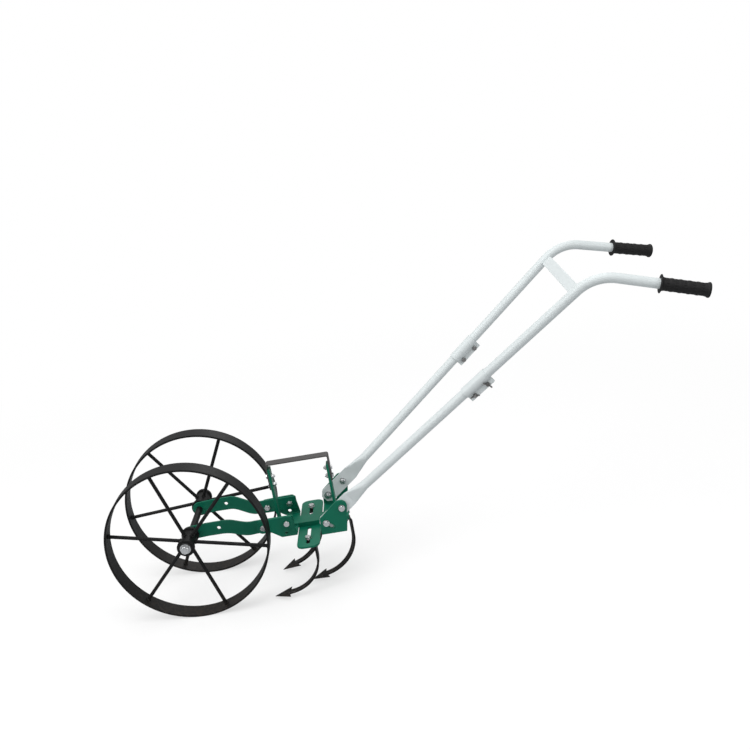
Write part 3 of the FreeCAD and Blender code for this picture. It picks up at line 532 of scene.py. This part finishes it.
def lathe(outline, place, steps):
    """A closed outline of (along, radius) points turned about +Z, then moved by a matrix."""
    shape = bmesh.new()
    rings = []
    for step in range(steps):
        angle = 2 * math.pi * step / steps
        rings.append([shape.verts.new((radius * math.cos(angle), radius * math.sin(angle), along))
                      for along, radius in outline])
    count = len(outline)
    for step in range(steps):
        here = rings[step]
        there = rings[(step + 1) % steps]
        for point in range(count):
            after = (point + 1) % count
            shape.faces.new((here[point], there[point], there[after], here[after]))
    bmesh.ops.remove_doubles(shape, verts=shape.verts, dist=1e-7)
    bmesh.ops.transform(shape, matrix=place, verts=shape.verts)
    return shape


def rounded(corners, steps=4):
    """A closed outline through (along, radius, rounding) corners, with each rounded corner as an arc."""
    points = []
    for i, (along, out, rounding) in enumerate(corners):
        corner = Vector((along, out))
        if rounding == 0:
            points.append(tuple(corner))
            continue
        before = (Vector(corners[i - 1][:2]) - corner).normalized()
        after = (Vector(corners[(i + 1) % len(corners)][:2]) - corner).normalized()
        half = before.angle(after) / 2
        reach = rounding / math.tan(half)
        centre = corner + (before + after).normalized() * (rounding / math.sin(half))
        first = corner + before * reach - centre
        last = corner + after * reach - centre
        for step in range(steps + 1):
            spoke = first.slerp(last, step / steps).normalized() * rounding
            points.append(tuple(centre + spoke))
    return points


def grown(tree, source, values):
    """Runs a geometry tree over a mesh and returns the plain mesh that it makes."""
    carrier = bpy.data.objects.new("carrier", source)
    bpy.context.scene.collection.objects.link(carrier)
    modifier = carrier.modifiers.new("Grow", "NODES")
    modifier.node_group = tree
    for item in tree.interface.items_tree:
        if item.in_out == "INPUT" and item.name in values:
            modifier[item.identifier] = values[item.name]
    mesh = evaluated_mesh(carrier)
    bpy.data.objects.remove(carrier)
    return mesh


def line_mesh(lines):
    """A mesh of edges only, from lists of points. A line that ends where it starts is a ring."""
    mesh = bpy.data.meshes.new("lines")
    points = []
    edges = []
    for line in lines:
        ring = (Vector(line[0]) - Vector(line[-1])).length < 1e-9
        own = line[:-1] if ring else line
        start = len(points)
        points.extend(own)
        edges.extend((start + i, start + i + 1) for i in range(len(own) - 1))
        if ring:
            edges.append((start + len(own) - 1, start))
    mesh.from_pydata(points, edges, [])
    return mesh


def ring_points(centre, axis, radius, count=20):
    """Points round a ring, the last one the same as the first."""
    place = turned_to(axis, centre)
    spots = [place @ Vector((radius * math.cos(2 * math.pi * k / count),
                             radius * math.sin(2 * math.pi * k / count), 0)) for k in range(count)]
    return spots + [spots[0]]


# Geometry trees ------------------------------------------------------

def strewn(net, given, result, points, shape, turn, scale, smooth=True):
    """Ends a geometry tree: a copy of a shape at each point, made real and painted."""
    placed = net.add("GeometryNodeInstanceOnPoints", {
        "Points": points, "Instance": shape, "Rotation": turn, "Scale": scale})
    real = net.add("GeometryNodeRealizeInstances", {0: placed})
    if smooth:
        real = net.add("GeometryNodeSetShadeSmooth", {0: real})
    painted = net.add("GeometryNodeSetMaterial", {0: real, "Material": given["Material"]})
    net.feed(result, Geometry=painted)
    return net.tree


def weld_tree():
    """Overlapping ripples along every edge of a mesh."""
    net, given, result = shape_tree("Weld bead", {"Bead": 0.0015, "Step": 0.0013, "Seed": 7})
    curve = net.add("GeometryNodeMeshToCurve", {0: given["Geometry"]})
    spaced = net.add("GeometryNodeResampleCurve", {"Curve": curve})
    spaced.mode = "LENGTH"
    net.feed(spaced, Length=given["Step"])
    tangent = net.add("GeometryNodeInputTangent")
    facing = net.add("FunctionNodeAlignRotationToVector", {"Vector": tangent}, axis="X")
    size = net.add("FunctionNodeRandomValue", {"Seed": given["Seed"]}, data_type="FLOAT")
    smallest, largest = size.inputs[2:4]
    smallest.default_value = 0.85
    largest.default_value = 1.18
    scale = net.maths("MULTIPLY", given["Bead"], size.outputs[1])
    ripple = net.add("GeometryNodeMeshIcoSphere", {"Radius": 1.0, "Subdivisions": 2})
    return strewn(net, given, result, spaced, ripple, facing, scale)


def thread_tree():
    """Thread crests stacked along the free end of each bolt. Each point holds its bolt's direction
    and radius."""
    net, given, result = shape_tree("Bolt thread", {"Pitch": 0.0011, "Turns": 3, "Proud": 0.0002})
    along = net.add("GeometryNodeInputNamedAttribute", {"Name": "along"}, data_type="FLOAT_VECTOR")
    radius = net.add("GeometryNodeInputNamedAttribute", {"Name": "radius"}, data_type="FLOAT")
    copies = net.add("GeometryNodeDuplicateElements", {
        "Geometry": given["Geometry"], "Amount": given["Turns"]}, domain="POINT")
    climb = net.maths("MULTIPLY", copies.outputs["Duplicate Index"], given["Pitch"])
    shift = net.add("ShaderNodeVectorMath", {0: along, "Scale": climb}, operation="SCALE")
    moved = net.add("GeometryNodeSetPosition", {"Geometry": copies, "Offset": shift})
    crest = net.add("GeometryNodeMeshCone", {"Vertices": 28, "Radius Top": 0.93, "Radius Bottom": 1.0,
                                             "Depth": 0.16})
    facing = net.add("FunctionNodeAlignRotationToVector", {"Vector": along}, axis="Z")
    wide = net.maths("ADD", radius, given["Proud"])
    return strewn(net, given, result, moved, crest.outputs["Mesh"], facing, wide, smooth=False)


def pad_tree():
    """Rows of raised pads round a grip that lies along +Z from the origin."""
    net, given, result = shape_tree("Grip pads", {
        "Rows": 5, "Around": 14, "Start": 0.01, "Spacing": 0.018, "Radius": 0.0137, "Long": 0.006,
        "Wide": 0.0018, "High": 0.0005})
    index = net.add("GeometryNodeInputIndex")
    row = net.maths("FLOOR", net.maths("DIVIDE", index, given["Around"]))
    column = net.maths("MODULO", index, given["Around"])
    stagger = net.maths("MULTIPLY", net.maths("MODULO", row, 2.0), 0.5)
    share = net.maths("DIVIDE", net.maths("ADD", column, stagger), given["Around"])
    angle = net.maths("MULTIPLY", share, 2 * math.pi)
    out_x = net.maths("MULTIPLY", net.maths("COSINE", angle), given["Radius"])
    out_y = net.maths("MULTIPLY", net.maths("SINE", angle), given["Radius"])
    out_z = net.maths("ADD", net.maths("MULTIPLY", row, given["Spacing"]), given["Start"])
    spot = net.add("ShaderNodeCombineXYZ", {0: out_x, 1: out_y, 2: out_z})
    total = net.maths("MULTIPLY", given["Rows"], given["Around"])
    points = net.add("GeometryNodePoints", {"Count": total, "Position": spot})
    pad = net.add("GeometryNodeMeshUVSphere", {"Segments": 10, "Rings": 6, "Radius": 1.0})
    turn = net.add("ShaderNodeCombineXYZ", {0: 0.0, 1: 0.0, 2: angle})
    size = net.add("ShaderNodeCombineXYZ", {0: given["High"], 1: given["Wide"], 2: given["Long"]})
    return strewn(net, given, result, points, pad.outputs["Mesh"], turn, size)


# Wheels --------------------------------------------------------------

def rim_mesh(node, sizes):
    wide = span(node, 1)
    outer = span(node, 0) / 2
    inner = outer - sizes.rim_thick
    corners = [(-wide / 2, inner, sizes.edge), (-wide / 2, outer, sizes.edge),
               (wide / 2, outer, sizes.edge), (wide / 2, inner, sizes.edge)]
    shape = lathe(rounded(corners), turned_to(ACROSS, middle(node)), sizes.steps)
    return to_mesh(shape, node)


def hub_mesh(node, sizes):
    half = span(node, 1) / 2
    collar_radius = span(node, 0) / 2
    step = half - sizes.collar
    edge = sizes.hub_edge
    corners = [(-half, sizes.bore, 0), (-half, collar_radius, edge), (-step, collar_radius, edge),
               (-step, sizes.hub_radius, edge), (step, sizes.hub_radius, edge),
               (step, collar_radius, edge), (half, collar_radius, edge), (half, sizes.bore, 0)]
    shape = lathe(rounded(corners), turned_to(ACROSS, middle(node)), 64)
    return to_mesh(shape, node)


def spoke_ends(side):
    """Inner end, outer end and direction of each spoke of a wheel."""
    hub = middle(side + "_wheel_hub")
    ends = []
    for points in solids_of(side + "_wheel_spokes"):
        first, last, along = long_axis(points)
        if (first - hub).length > (last - hub).length:
            first, last, along = last, first, -along
        ends.append((first, last, along))
    return ends


# Tines ---------------------------------------------------------------

TAPER_TOP = 30 * MM  # depth at which a tine starts to taper
BAR_IN_HEAD = 0.35  # share of the head's length that the bar runs into


def arc(x, z, radius, start, turn, steps):
    """Points along an arc, both ends included."""
    angles = [start + turn * step / steps for step in range(steps + 1)]
    return [(x + radius * math.cos(angle), z + radius * math.sin(angle)) for angle in angles]


def tine_path(sizes, drop):
    """Centre line of a tine as (ahead of the bolt, height), then the head's place and direction."""
    points = [(sizes.front, -sizes.thick / 2)]
    points += arc(sizes.bend - sizes.reach, -sizes.thick / 2 - sizes.bend, sizes.bend,
                  math.pi / 2, math.pi / 2, 8)
    fall = math.pi / 2 - sizes.sweep_angle
    tail = sizes.straight + sizes.head
    sweep_z = -drop + tail * math.sin(fall) + sizes.sweep * math.cos(fall)
    points += arc(sizes.sweep - sizes.reach, sweep_z, sizes.sweep, math.pi, sizes.sweep_angle, 24)
    last = Vector(points[-1])
    ahead = Vector((math.cos(fall), -math.sin(fall)))
    points.append(tuple(last + ahead * (sizes.straight + sizes.head * BAR_IN_HEAD)))
    return points, last + ahead * sizes.straight, ahead


def bar_sections(points, sizes, drop):
    """Cross-sections of the bar along its path: thin rounded boxes that taper to the neck."""
    chamfer = 0.7 * MM
    sections = []
    for i, point in enumerate(points):
        here = Vector(point)
        before = Vector(points[max(i - 1, 0)])
        after = Vector(points[min(i + 1, len(points) - 1)])
        along = (after - before).normalized()
        out = Vector((-along.y, along.x))
        share = min(1.0, max(0.0, (-here.y - TAPER_TOP) / (drop - 10 * MM - TAPER_TOP)))
        wide = sizes.tab / 2 + (sizes.neck - sizes.tab) / 2 * share
        thick = sizes.thick / 2
        corner = [(wide - chamfer, thick), (wide, thick - chamfer)]
        ring = []
        for up, side in ((1, 1), (1, -1), (-1, -1), (-1, 1)):
            for across, off in corner if up * side > 0 else reversed(corner):
                spot = here + out * (off * up)
                ring.append(Vector((-spot.x, across * side, spot.y)))
        sections.append(ring)
    return sections


def loft(shape, sections):
    """Joins rings of equal length into a closed skin."""
    rings = [[shape.verts.new(spot) for spot in ring] for ring in sections]
    count = len(rings[0])
    for first, second in zip(rings, rings[1:]):
        for k in range(count):
            after = (k + 1) % count
            shape.faces.new((first[k], first[after], second[after], second[k]))
    shape.faces.new(rings[0])
    shape.faces.new(list(reversed(rings[-1])))


def add_head(shape, start, ahead, sizes):
    """Arrow head with a ridge along its middle, thin along its cutting edges."""
    up = Vector((-ahead.y, ahead.x))
    barb = sizes.head_wide / 2
    neck = sizes.neck / 2

    def spot(along, across, rise):
        flat = start + ahead * along + up * rise
        return Vector((-flat.x, across, flat.y))

    # Tip, barb, neck, neck and barb; on each skin the ridge's two ends follow as 5 and 6.
    rim = [(sizes.head, 0), (-3 * MM, barb), (3 * MM, neck), (3 * MM, -neck), (-3 * MM, -barb)]
    skins = []
    for rise in (1, -1):
        spots = [spot(along, across, sizes.lip * rise) for along, across in rim]
        spots.append(spot(sizes.head - 3 * MM, 0, (sizes.lip + 0.3 * MM) * rise))
        spots.append(spot(2 * MM, 0, sizes.ridge * rise))
        skin = [shape.verts.new(place) for place in spots]
        for face in ((0, 1, 6, 5), (0, 5, 6, 4), (1, 2, 6), (2, 3, 6), (3, 4, 6)):
            shape.faces.new([skin[k] for k in face])
        skins.append(skin)
    upper, lower = skins
    for k in range(len(rim)):
        after = (k + 1) % len(rim)
        shape.faces.new((upper[k], upper[after], lower[after], lower[k]))


def tine_mesh(node, sizes):
    """A whole tine, drawn from its bolt and turned as its CAD solid is."""
    bolt = middle(node + "_bolt")
    points = np.array([corner.co[:] for corner in NODES[node].data.vertices])
    up = -DOWN
    seat = bolt + up * (max(points @ np.array(up)) - bolt.dot(up))
    reach = Vector(points[int((points @ np.array(-BACK)).argmax())]) - seat
    turn = math.atan2(-reach.dot(ACROSS), reach.dot(-BACK))
    drop = reach.dot(DOWN) - sizes.thick * 0.4
    path, head_start, head_ahead = tine_path(sizes, drop)
    shape = bmesh.new()
    loft(shape, bar_sections(path, sizes, drop))
    add_head(shape, head_start, head_ahead, sizes)
    own = Matrix((BACK, ACROSS, up)).transposed().to_4x4()
    place = Matrix.Translation(seat) @ own @ Matrix.Rotation(turn, 4, "Z")
    bmesh.ops.transform(shape, matrix=place, verts=shape.verts)
    return to_mesh(shape, node, 32)


# Grips ---------------------------------------------------------------

FLANGE = 20 * MM  # radius of a grip's flange


def grip_ends(side):
    """Flange end and outer end of a grip."""
    ends = long_axis(solids_of(side + "_grip")[0])[:2]
    return sorted(ends, key=lambda end: end.x)


def wave_run(sizes, long):
    """Start and stop of the finger waves along a grip."""
    return sizes.flange + 2.5 * MM, long - 8 * MM


def grip_outline(sizes, long):
    """Flange, waved body, flared lip, rounded end and the bore, as one closed outline."""
    points = [(0.0, sizes.tube), (0.0, FLANGE - 1.2 * MM), (0.5 * MM, FLANGE - 0.3 * MM),
              (1.4 * MM, FLANGE), (2.3 * MM, FLANGE - 0.4 * MM), (sizes.flange, FLANGE - 2.2 * MM)]
    start, stop = wave_run(sizes, long)
    steps = 60
    for step in range(steps + 1):
        share = step / steps
        swell = sizes.wave * math.cos(2 * math.pi * sizes.waves * share)
        points.append((start + (stop - start) * share, sizes.body + swell))
    points += [(long - 6 * MM, sizes.lip - 0.9 * MM), (long - 4.2 * MM, sizes.lip),
               (long - 1.8 * MM, sizes.lip - 0.1 * MM), (long - 0.5 * MM, sizes.lip - 1.2 * MM),
               (long, sizes.lip - 3 * MM), (long - 0.3 * MM, 4 * MM), (long - 0.6 * MM, 0.0),
               (long - 4 * MM, 0.0), (long - 4 * MM, sizes.tube)]
    return points


# Bolts ---------------------------------------------------------------

def free_end(points):
    """A bolt's free end, its direction away from the head and its shank's radius."""
    first, last, along = long_axis(points)
    away = points - np.array((first + last) / 2)
    reach = away @ np.array(along)
    off = np.linalg.norm(away - np.outer(reach, np.array(along)), axis=1)
    at_first = off[reach < reach.min() + 0.5 * MM].max()
    at_last = off[reach > reach.max() - 0.5 * MM].max()
    if at_first < at_last:
        return first, -along, at_first
    return last, along, at_last


def thread_points(nodes, sizes):
    """A mesh of one point for each bolt, holding the bolt's direction and radius."""
    spots = []
    directions = []
    radii = []
    for node in nodes:
        for points in solids_of(node):
            end, along, radius = free_end(points)
            spots.append(end - along * (sizes.pitch * (sizes.turns - 0.6)))
            directions.extend(along)
            radii.append(radius)
    mesh = bpy.data.meshes.new("threads")
    mesh.from_pydata(spots, [], [])
    mesh.attributes.new("along", "FLOAT_VECTOR", "POINT").data.foreach_set("vector", directions)
    mesh.attributes.new("radius", "FLOAT", "POINT").data.foreach_set("value", radii)
    return mesh


# Operators -----------------------------------------------------------

class CULTIVATOR_OT_finishes(bpy.types.Operator):
    """Make every finish and put it on the CAD nodes"""
    bl_idname = "cultivator.finishes"
    bl_label = "Finishes"

    def execute(self, context):
        make_finishes(context.scene.cultivator_paints)
        for node, holder in NODES.items():
            if not holder.material_slots:
                holder.data.materials.append(None)
            for place in holder.material_slots:
                place.material = FINISHES[SLOT_OF[node]]
        return {"FINISHED"}


class CULTIVATOR_OT_wheels(bpy.types.Operator):
    """Turn the rims and hubs with rounded edges"""
    bl_idname = "cultivator.wheels"
    bl_label = "Wheels"

    def execute(self, context):
        sizes = context.scene.cultivator_wheels
        for side in SIDES:
            rim = side + "_wheel_rim"
            stand_in(side + "_rim_band", rim_mesh(rim, sizes), rim)
            hub = side + "_wheel_hub"
            stand_in(side + "_hub_barrel", hub_mesh(hub, sizes), hub)
        return {"FINISHED"}


class CULTIVATOR_OT_plates(bpy.types.Operator):
    """Round the edges of the frame's plates, bars and strap"""
    bl_idname = "cultivator.plates"
    bl_label = "Frame plates"

    def execute(self, context):
        sizes = context.scene.cultivator_edges
        plates = ["front_cross_plates", "rear_cross_plates", "centre_beam", "tool_plate",
                  "front_upright", "rear_upright"]
        plates += [side + end for side in SIDES for end in ("_arm", "_front_plate", "_rear_plate")]
        bars = ["crossbar"] + [side + "_clamp_sleeve" for side in SIDES]
        for nodes, width in ((plates, sizes.plate), (["top_strap"], sizes.strap), (bars, sizes.bar)):
            for node in nodes:
                stand_in(node + "_finished", softened(node, width), node)
        return {"FINISHED"}


class CULTIVATOR_OT_tines(bpy.types.Operator):
    """Forge the three tines with ridged arrow heads"""
    bl_idname = "cultivator.tines"
    bl_label = "Tines"

    def execute(self, context):
        sizes = context.scene.cultivator_tines
        for node in ("near_tine", "far_tine", "rear_tine"):
            stand_in(node + "_forged", tine_mesh(node, sizes), node)
        return {"FINISHED"}


class CULTIVATOR_OT_grips(bpy.types.Operator):
    """Mould the two rubber grips with their pads"""
    bl_idname = "cultivator.grips"
    bl_label = "Grips"

    def execute(self, context):
        sizes = context.scene.cultivator_grips
        tree = pad_tree()
        for side in SIDES:
            inner, outer = grip_ends(side)
            long = (outer - inner).length
            place = turned_to((outer - inner).normalized(), inner)
            shape = lathe(grip_outline(sizes, long), place, 56)
            stand_in(side + "_grip_moulded", to_mesh(shape, side + "_grip", 50), side + "_grip")
            start, stop = wave_run(sizes, long)
            spacing = (stop - start) / sizes.waves
            pads = grown(tree, bpy.data.meshes.new("empty"), {
                "Rows": sizes.waves, "Around": sizes.pads, "Start": start + spacing / 2,
                "Spacing": spacing, "Radius": sizes.body - sizes.wave, "Long": spacing * 0.36,
                "Wide": 1.9 * MM, "High": sizes.pad_high + sizes.wave * 0.5,
                "Material": FINISHES["grip_rubber"]})
            pads.transform(place)
            add_piece(side + "_grip_pads", pads, "handle", "grip_rubber")
        return {"FINISHED"}


class CULTIVATOR_OT_welds(bpy.types.Operator):
    """Lay the weld beads of the wheels, the frame and the crossbar"""
    bl_idname = "cultivator.welds"
    bl_label = "Welds"

    def execute(self, context):
        sizes = context.scene.cultivator_welds
        tree = weld_tree()

        def lay(name, lines, body, slot):
            mesh = grown(tree, line_mesh(lines), {
                "Bead": sizes.bead, "Step": sizes.step, "Seed": sizes.seed, "Material": FINISHES[slot]})
            add_piece(name, mesh, body, slot)

        radius = 4.3 * MM
        for side in SIDES:
            rings = []
            for inner, outer, along in spoke_ends(side):
                rings.append(ring_points(inner + along * 1.6 * MM, along, radius))
                rings.append(ring_points(outer - along * 1.4 * MM, along, radius))
            lay(side + "_wheel_welds", rings, side + "_wheel", "black_paint")
        lay("frame_welds", self.plate_lines(), "frame", "green_paint")
        lay("crossbar_welds", self.crossbar_lines(), "handle", "white_coat")
        return {"FINISHED"}

    def plate_lines(self):
        """Beads along the upper edges where each cross plate meets the beam and a side plate."""
        near = 0.3 * MM
        shortest = 6 * MM
        lines = []
        for node in ("front_cross_plates", "rear_cross_plates"):
            shape = flat_copy(node)
            top = max(corner.co.dot(-DOWN) for corner in shape.verts)
            sides = [abs(corner.co.y) for corner in shape.verts]
            for edge in shape.edges:
                first, last = (corner.co.copy() for corner in edge.verts)
                level = min(first.dot(-DOWN), last.dot(-DOWN)) > top - near
                run = last - first
                if not level or abs(run.y) > 0.1 * MM or run.length < shortest:
                    continue
                from_beam = abs(abs(first.y) - min(sides))
                from_plate = abs(abs(first.y) - max(sides))
                if min(from_beam, from_plate) > near:
                    continue
                # The bead lies off the beam or off the side plate, and a little above the cross plate.
                inward = 1 if from_beam < near else -1
                lift = ACROSS * (math.copysign(0.6 * MM, first.y) * inward) - DOWN * 0.3 * MM
                inset = run.normalized() * 2 * MM
                lines.append([first + inset + lift, last - inset + lift])
            shape.free()
        return lines

    def crossbar_lines(self):
        """A bead across each end of the crossbar."""
        points = solids_of("crossbar")[0]
        lines = []
        for side in (-1, 1):
            edge_y = (points[:, 1] * side).max() - 1.0 * MM
            edge = points[points[:, 1] * side > edge_y]
            first = Vector(edge[edge[:, 0].argmin()])
            along = Vector(edge[edge[:, 0].argmax()]) - first
            first.y = side * edge_y
            lines.append([first, first + along])
        return lines


class CULTIVATOR_OT_threads(bpy.types.Operator):
    """Cut threads on the free ends of the bolts"""
    bl_idname = "cultivator.threads"
    bl_label = "Threads"

    def execute(self, context):
        sizes = context.scene.cultivator_threads
        tree = thread_tree()
        groups = (("frame", "zinc_plate", ["arm_bolts", "strap_bolts", "rear_tine_bolt", "pivot_bolts"]),
                  ("handle", "zinc_plate", ["lock_bolts"]), ("handle", "dark_steel", ["clamp_bolts"]),
                  ("near_tine", "zinc_plate", ["near_tine_bolt"]),
                  ("far_tine", "zinc_plate", ["far_tine_bolt"]))
        for body, slot, nodes in groups:
            mesh = grown(tree, thread_points(nodes, sizes), {
                "Pitch": sizes.pitch, "Turns": sizes.turns, "Proud": sizes.proud,
                "Material": FINISHES[slot]})
            add_piece(nodes[0] + "_threads", mesh, body, slot)
        return {"FINISHED"}


# Name, place, size across and power in watts of each light.
LIGHTS = (("Top", (-0.5, -0.6, 3.4), 2.4, 54), ("Left", (-2.6, -1.8, 2.0), 1.2, 34),
          ("Right", (2.4, -1.6, 1.8), 1.0, 14), ("Rear", (0.4, 3.0, 2.4), 1.6, 16))


class CULTIVATOR_OT_stage(bpy.types.Operator):
    """Set the floor, the background, the lights and the camera"""
    bl_idname = "cultivator.stage"
    bl_label = "Stage"

    def execute(self, context):
        sizes = context.scene.cultivator_stage
        self.floor(sizes, context.scene.cultivator_paints.floor)
        self.background(context.scene, sizes)
        for light in LIGHTS:
            self.light(*light)
        context.scene.view_settings.view_transform = "Standard"
        self.camera(context.scene, sizes)
        return {"FINISHED"}

    def floor(self, sizes, tint):
        """A flat disc that fades into the background away from the cultivator."""
        shape = bmesh.new()
        bmesh.ops.create_circle(shape, cap_ends=True, segments=96, radius=sizes.floor)
        mesh = bpy.data.meshes.new("floor")
        shape.to_mesh(mesh)
        shape.free()
        material = bpy.data.materials.new("floor")
        material.use_nodes = True
        net = Net(material.node_tree)
        shader = material.node_tree.nodes["Principled BSDF"]
        shader.inputs["Base Color"].default_value = (*tint, 1)
        shader.inputs["Roughness"].default_value = 0.9
        shader.inputs["Specular IOR Level"].default_value = 0.1
        away = net.add("ShaderNodeVectorMath", {0: net.place()}, operation="LENGTH").outputs["Value"]
        fade = net.spread(away, sizes.fade_start, sizes.fade_end, sizes.glow, 1.0,
                          interpolation_type="SMOOTHSTEP")
        glow = net.add("ShaderNodeEmission", {"Color": (1, 1, 1, 1), "Strength": sizes.sky})
        blend = net.add("ShaderNodeMixShader", {0: fade, 1: shader, 2: glow})
        bounce = net.add("ShaderNodeBsdfDiffuse", {"Color": (*sizes.bounce, 1)})
        straight = net.add("ShaderNodeLightPath").outputs["Is Camera Ray"]
        whole = net.add("ShaderNodeMixShader", {0: straight, 1: bounce, 2: blend})
        net.feed(material.node_tree.nodes["Material Output"], Surface=whole)
        mesh.materials.append(material)
        floor = bpy.data.objects.new("floor", mesh)
        bpy.context.scene.collection.objects.link(floor)

    def background(self, scene, sizes):
        """Seen plain and even, but lit more from above than from the sides."""
        world = bpy.data.worlds.new("studio")
        world.use_nodes = True
        net = Net(world.node_tree)
        seen = world.node_tree.nodes["Background"]
        seen.inputs["Color"].default_value = (1, 1, 1, 1)
        seen.inputs["Strength"].default_value = sizes.sky
        place = net.add("ShaderNodeTexCoord").outputs["Generated"]
        rise = net.add("ShaderNodeSeparateXYZ", {0: place}).outputs[2]
        strength = net.spread(rise, -0.1, 0.9, sizes.low_shed, sizes.shed,
                              interpolation_type="SMOOTHSTEP")
        shed = net.add("ShaderNodeBackground", {"Color": (1, 1, 1, 1), "Strength": strength})
        straight = net.add("ShaderNodeLightPath").outputs["Is Camera Ray"]
        blend = net.add("ShaderNodeMixShader", {0: straight, 1: shed, 2: seen})
        net.feed(world.node_tree.nodes["World Output"], Surface=blend)
        scene.world = world

    def light(self, name, place, size, power):
        """A square soft light that faces the middle of the cultivator."""
        lamp = bpy.data.lights.new(name, "AREA")
        lamp.size = size
        lamp.energy = power
        holder = bpy.data.objects.new(name, lamp)
        holder.location = place
        aim = Vector((-0.1, 0, 0.25)) - Vector(place)
        holder.rotation_euler = aim.to_track_quat("-Z", "Y").to_euler()
        bpy.context.scene.collection.objects.link(holder)

    def camera(self, scene, sizes):
        lens = bpy.data.cameras.new("camera")
        lens.lens = sizes.lens
        lens.sensor_width = 36.0
        lens.clip_end = 200.0
        holder = bpy.data.objects.new("camera", lens)
        scene.collection.objects.link(holder)
        look = Matrix.Rotation(-sizes.yaw, 4, "Z") @ Matrix.Rotation(math.pi / 2 - sizes.pitch, 4, "X")
        lean = Matrix.Translation(AXLE) @ Matrix.Rotation(sizes.tilt, 4, "Y")
        holder.matrix_world = lean @ Matrix.Translation(sizes.place) @ look
        scene.camera = holder


class CULTIVATOR_PT_panel(bpy.types.Panel):
    """Steps that finish the cultivator"""
    bl_label = "Cultivator"
    bl_idname = "CULTIVATOR_PT_panel"
    bl_space_type = "VIEW_3D"
    bl_region_type = "UI"
    bl_category = "Cultivator"

    def draw(self, context):
        for step in STEPS:
            self.layout.operator(step.bl_idname)
        for name in SETTINGS:
            self.layout.label(text=name.replace("cultivator_", "").title())
            group = getattr(context.scene, name)
            for item in group.bl_rna.properties:
                if not item.is_readonly:
                    self.layout.prop(group, item.identifier)


STEPS = (CULTIVATOR_OT_finishes, CULTIVATOR_OT_wheels, CULTIVATOR_OT_plates, CULTIVATOR_OT_tines,
         CULTIVATOR_OT_grips, CULTIVATOR_OT_welds, CULTIVATOR_OT_threads, CULTIVATOR_OT_stage)
SETTINGS = {"cultivator_wheels": WheelSizes, "cultivator_tines": TineSizes,
            "cultivator_grips": GripSizes, "cultivator_welds": WeldSizes,
            "cultivator_threads": ThreadSizes, "cultivator_edges": EdgeSizes,
            "cultivator_paints": PaintColours, "cultivator_stage": StageSizes}


def register():
    for name, group in SETTINGS.items():
        bpy.utils.register_class(group)
        setattr(bpy.types.Scene, name, bpy.props.PointerProperty(type=group))
    for step in STEPS:
        bpy.utils.register_class(step)
    bpy.utils.register_class(CULTIVATOR_PT_panel)


def unregister():
    bpy.utils.unregister_class(CULTIVATOR_PT_panel)
    for step in reversed(STEPS):
        bpy.utils.unregister_class(step)
    for name, group in reversed(list(SETTINGS.items())):
        delattr(bpy.types.Scene, name)
        bpy.utils.unregister_class(group)


def main():
    register()
    for step in STEPS:
        family, name = step.bl_idname.split(".")
        getattr(getattr(bpy.ops, family), name)()


if __name__ == "__main__":
    main()
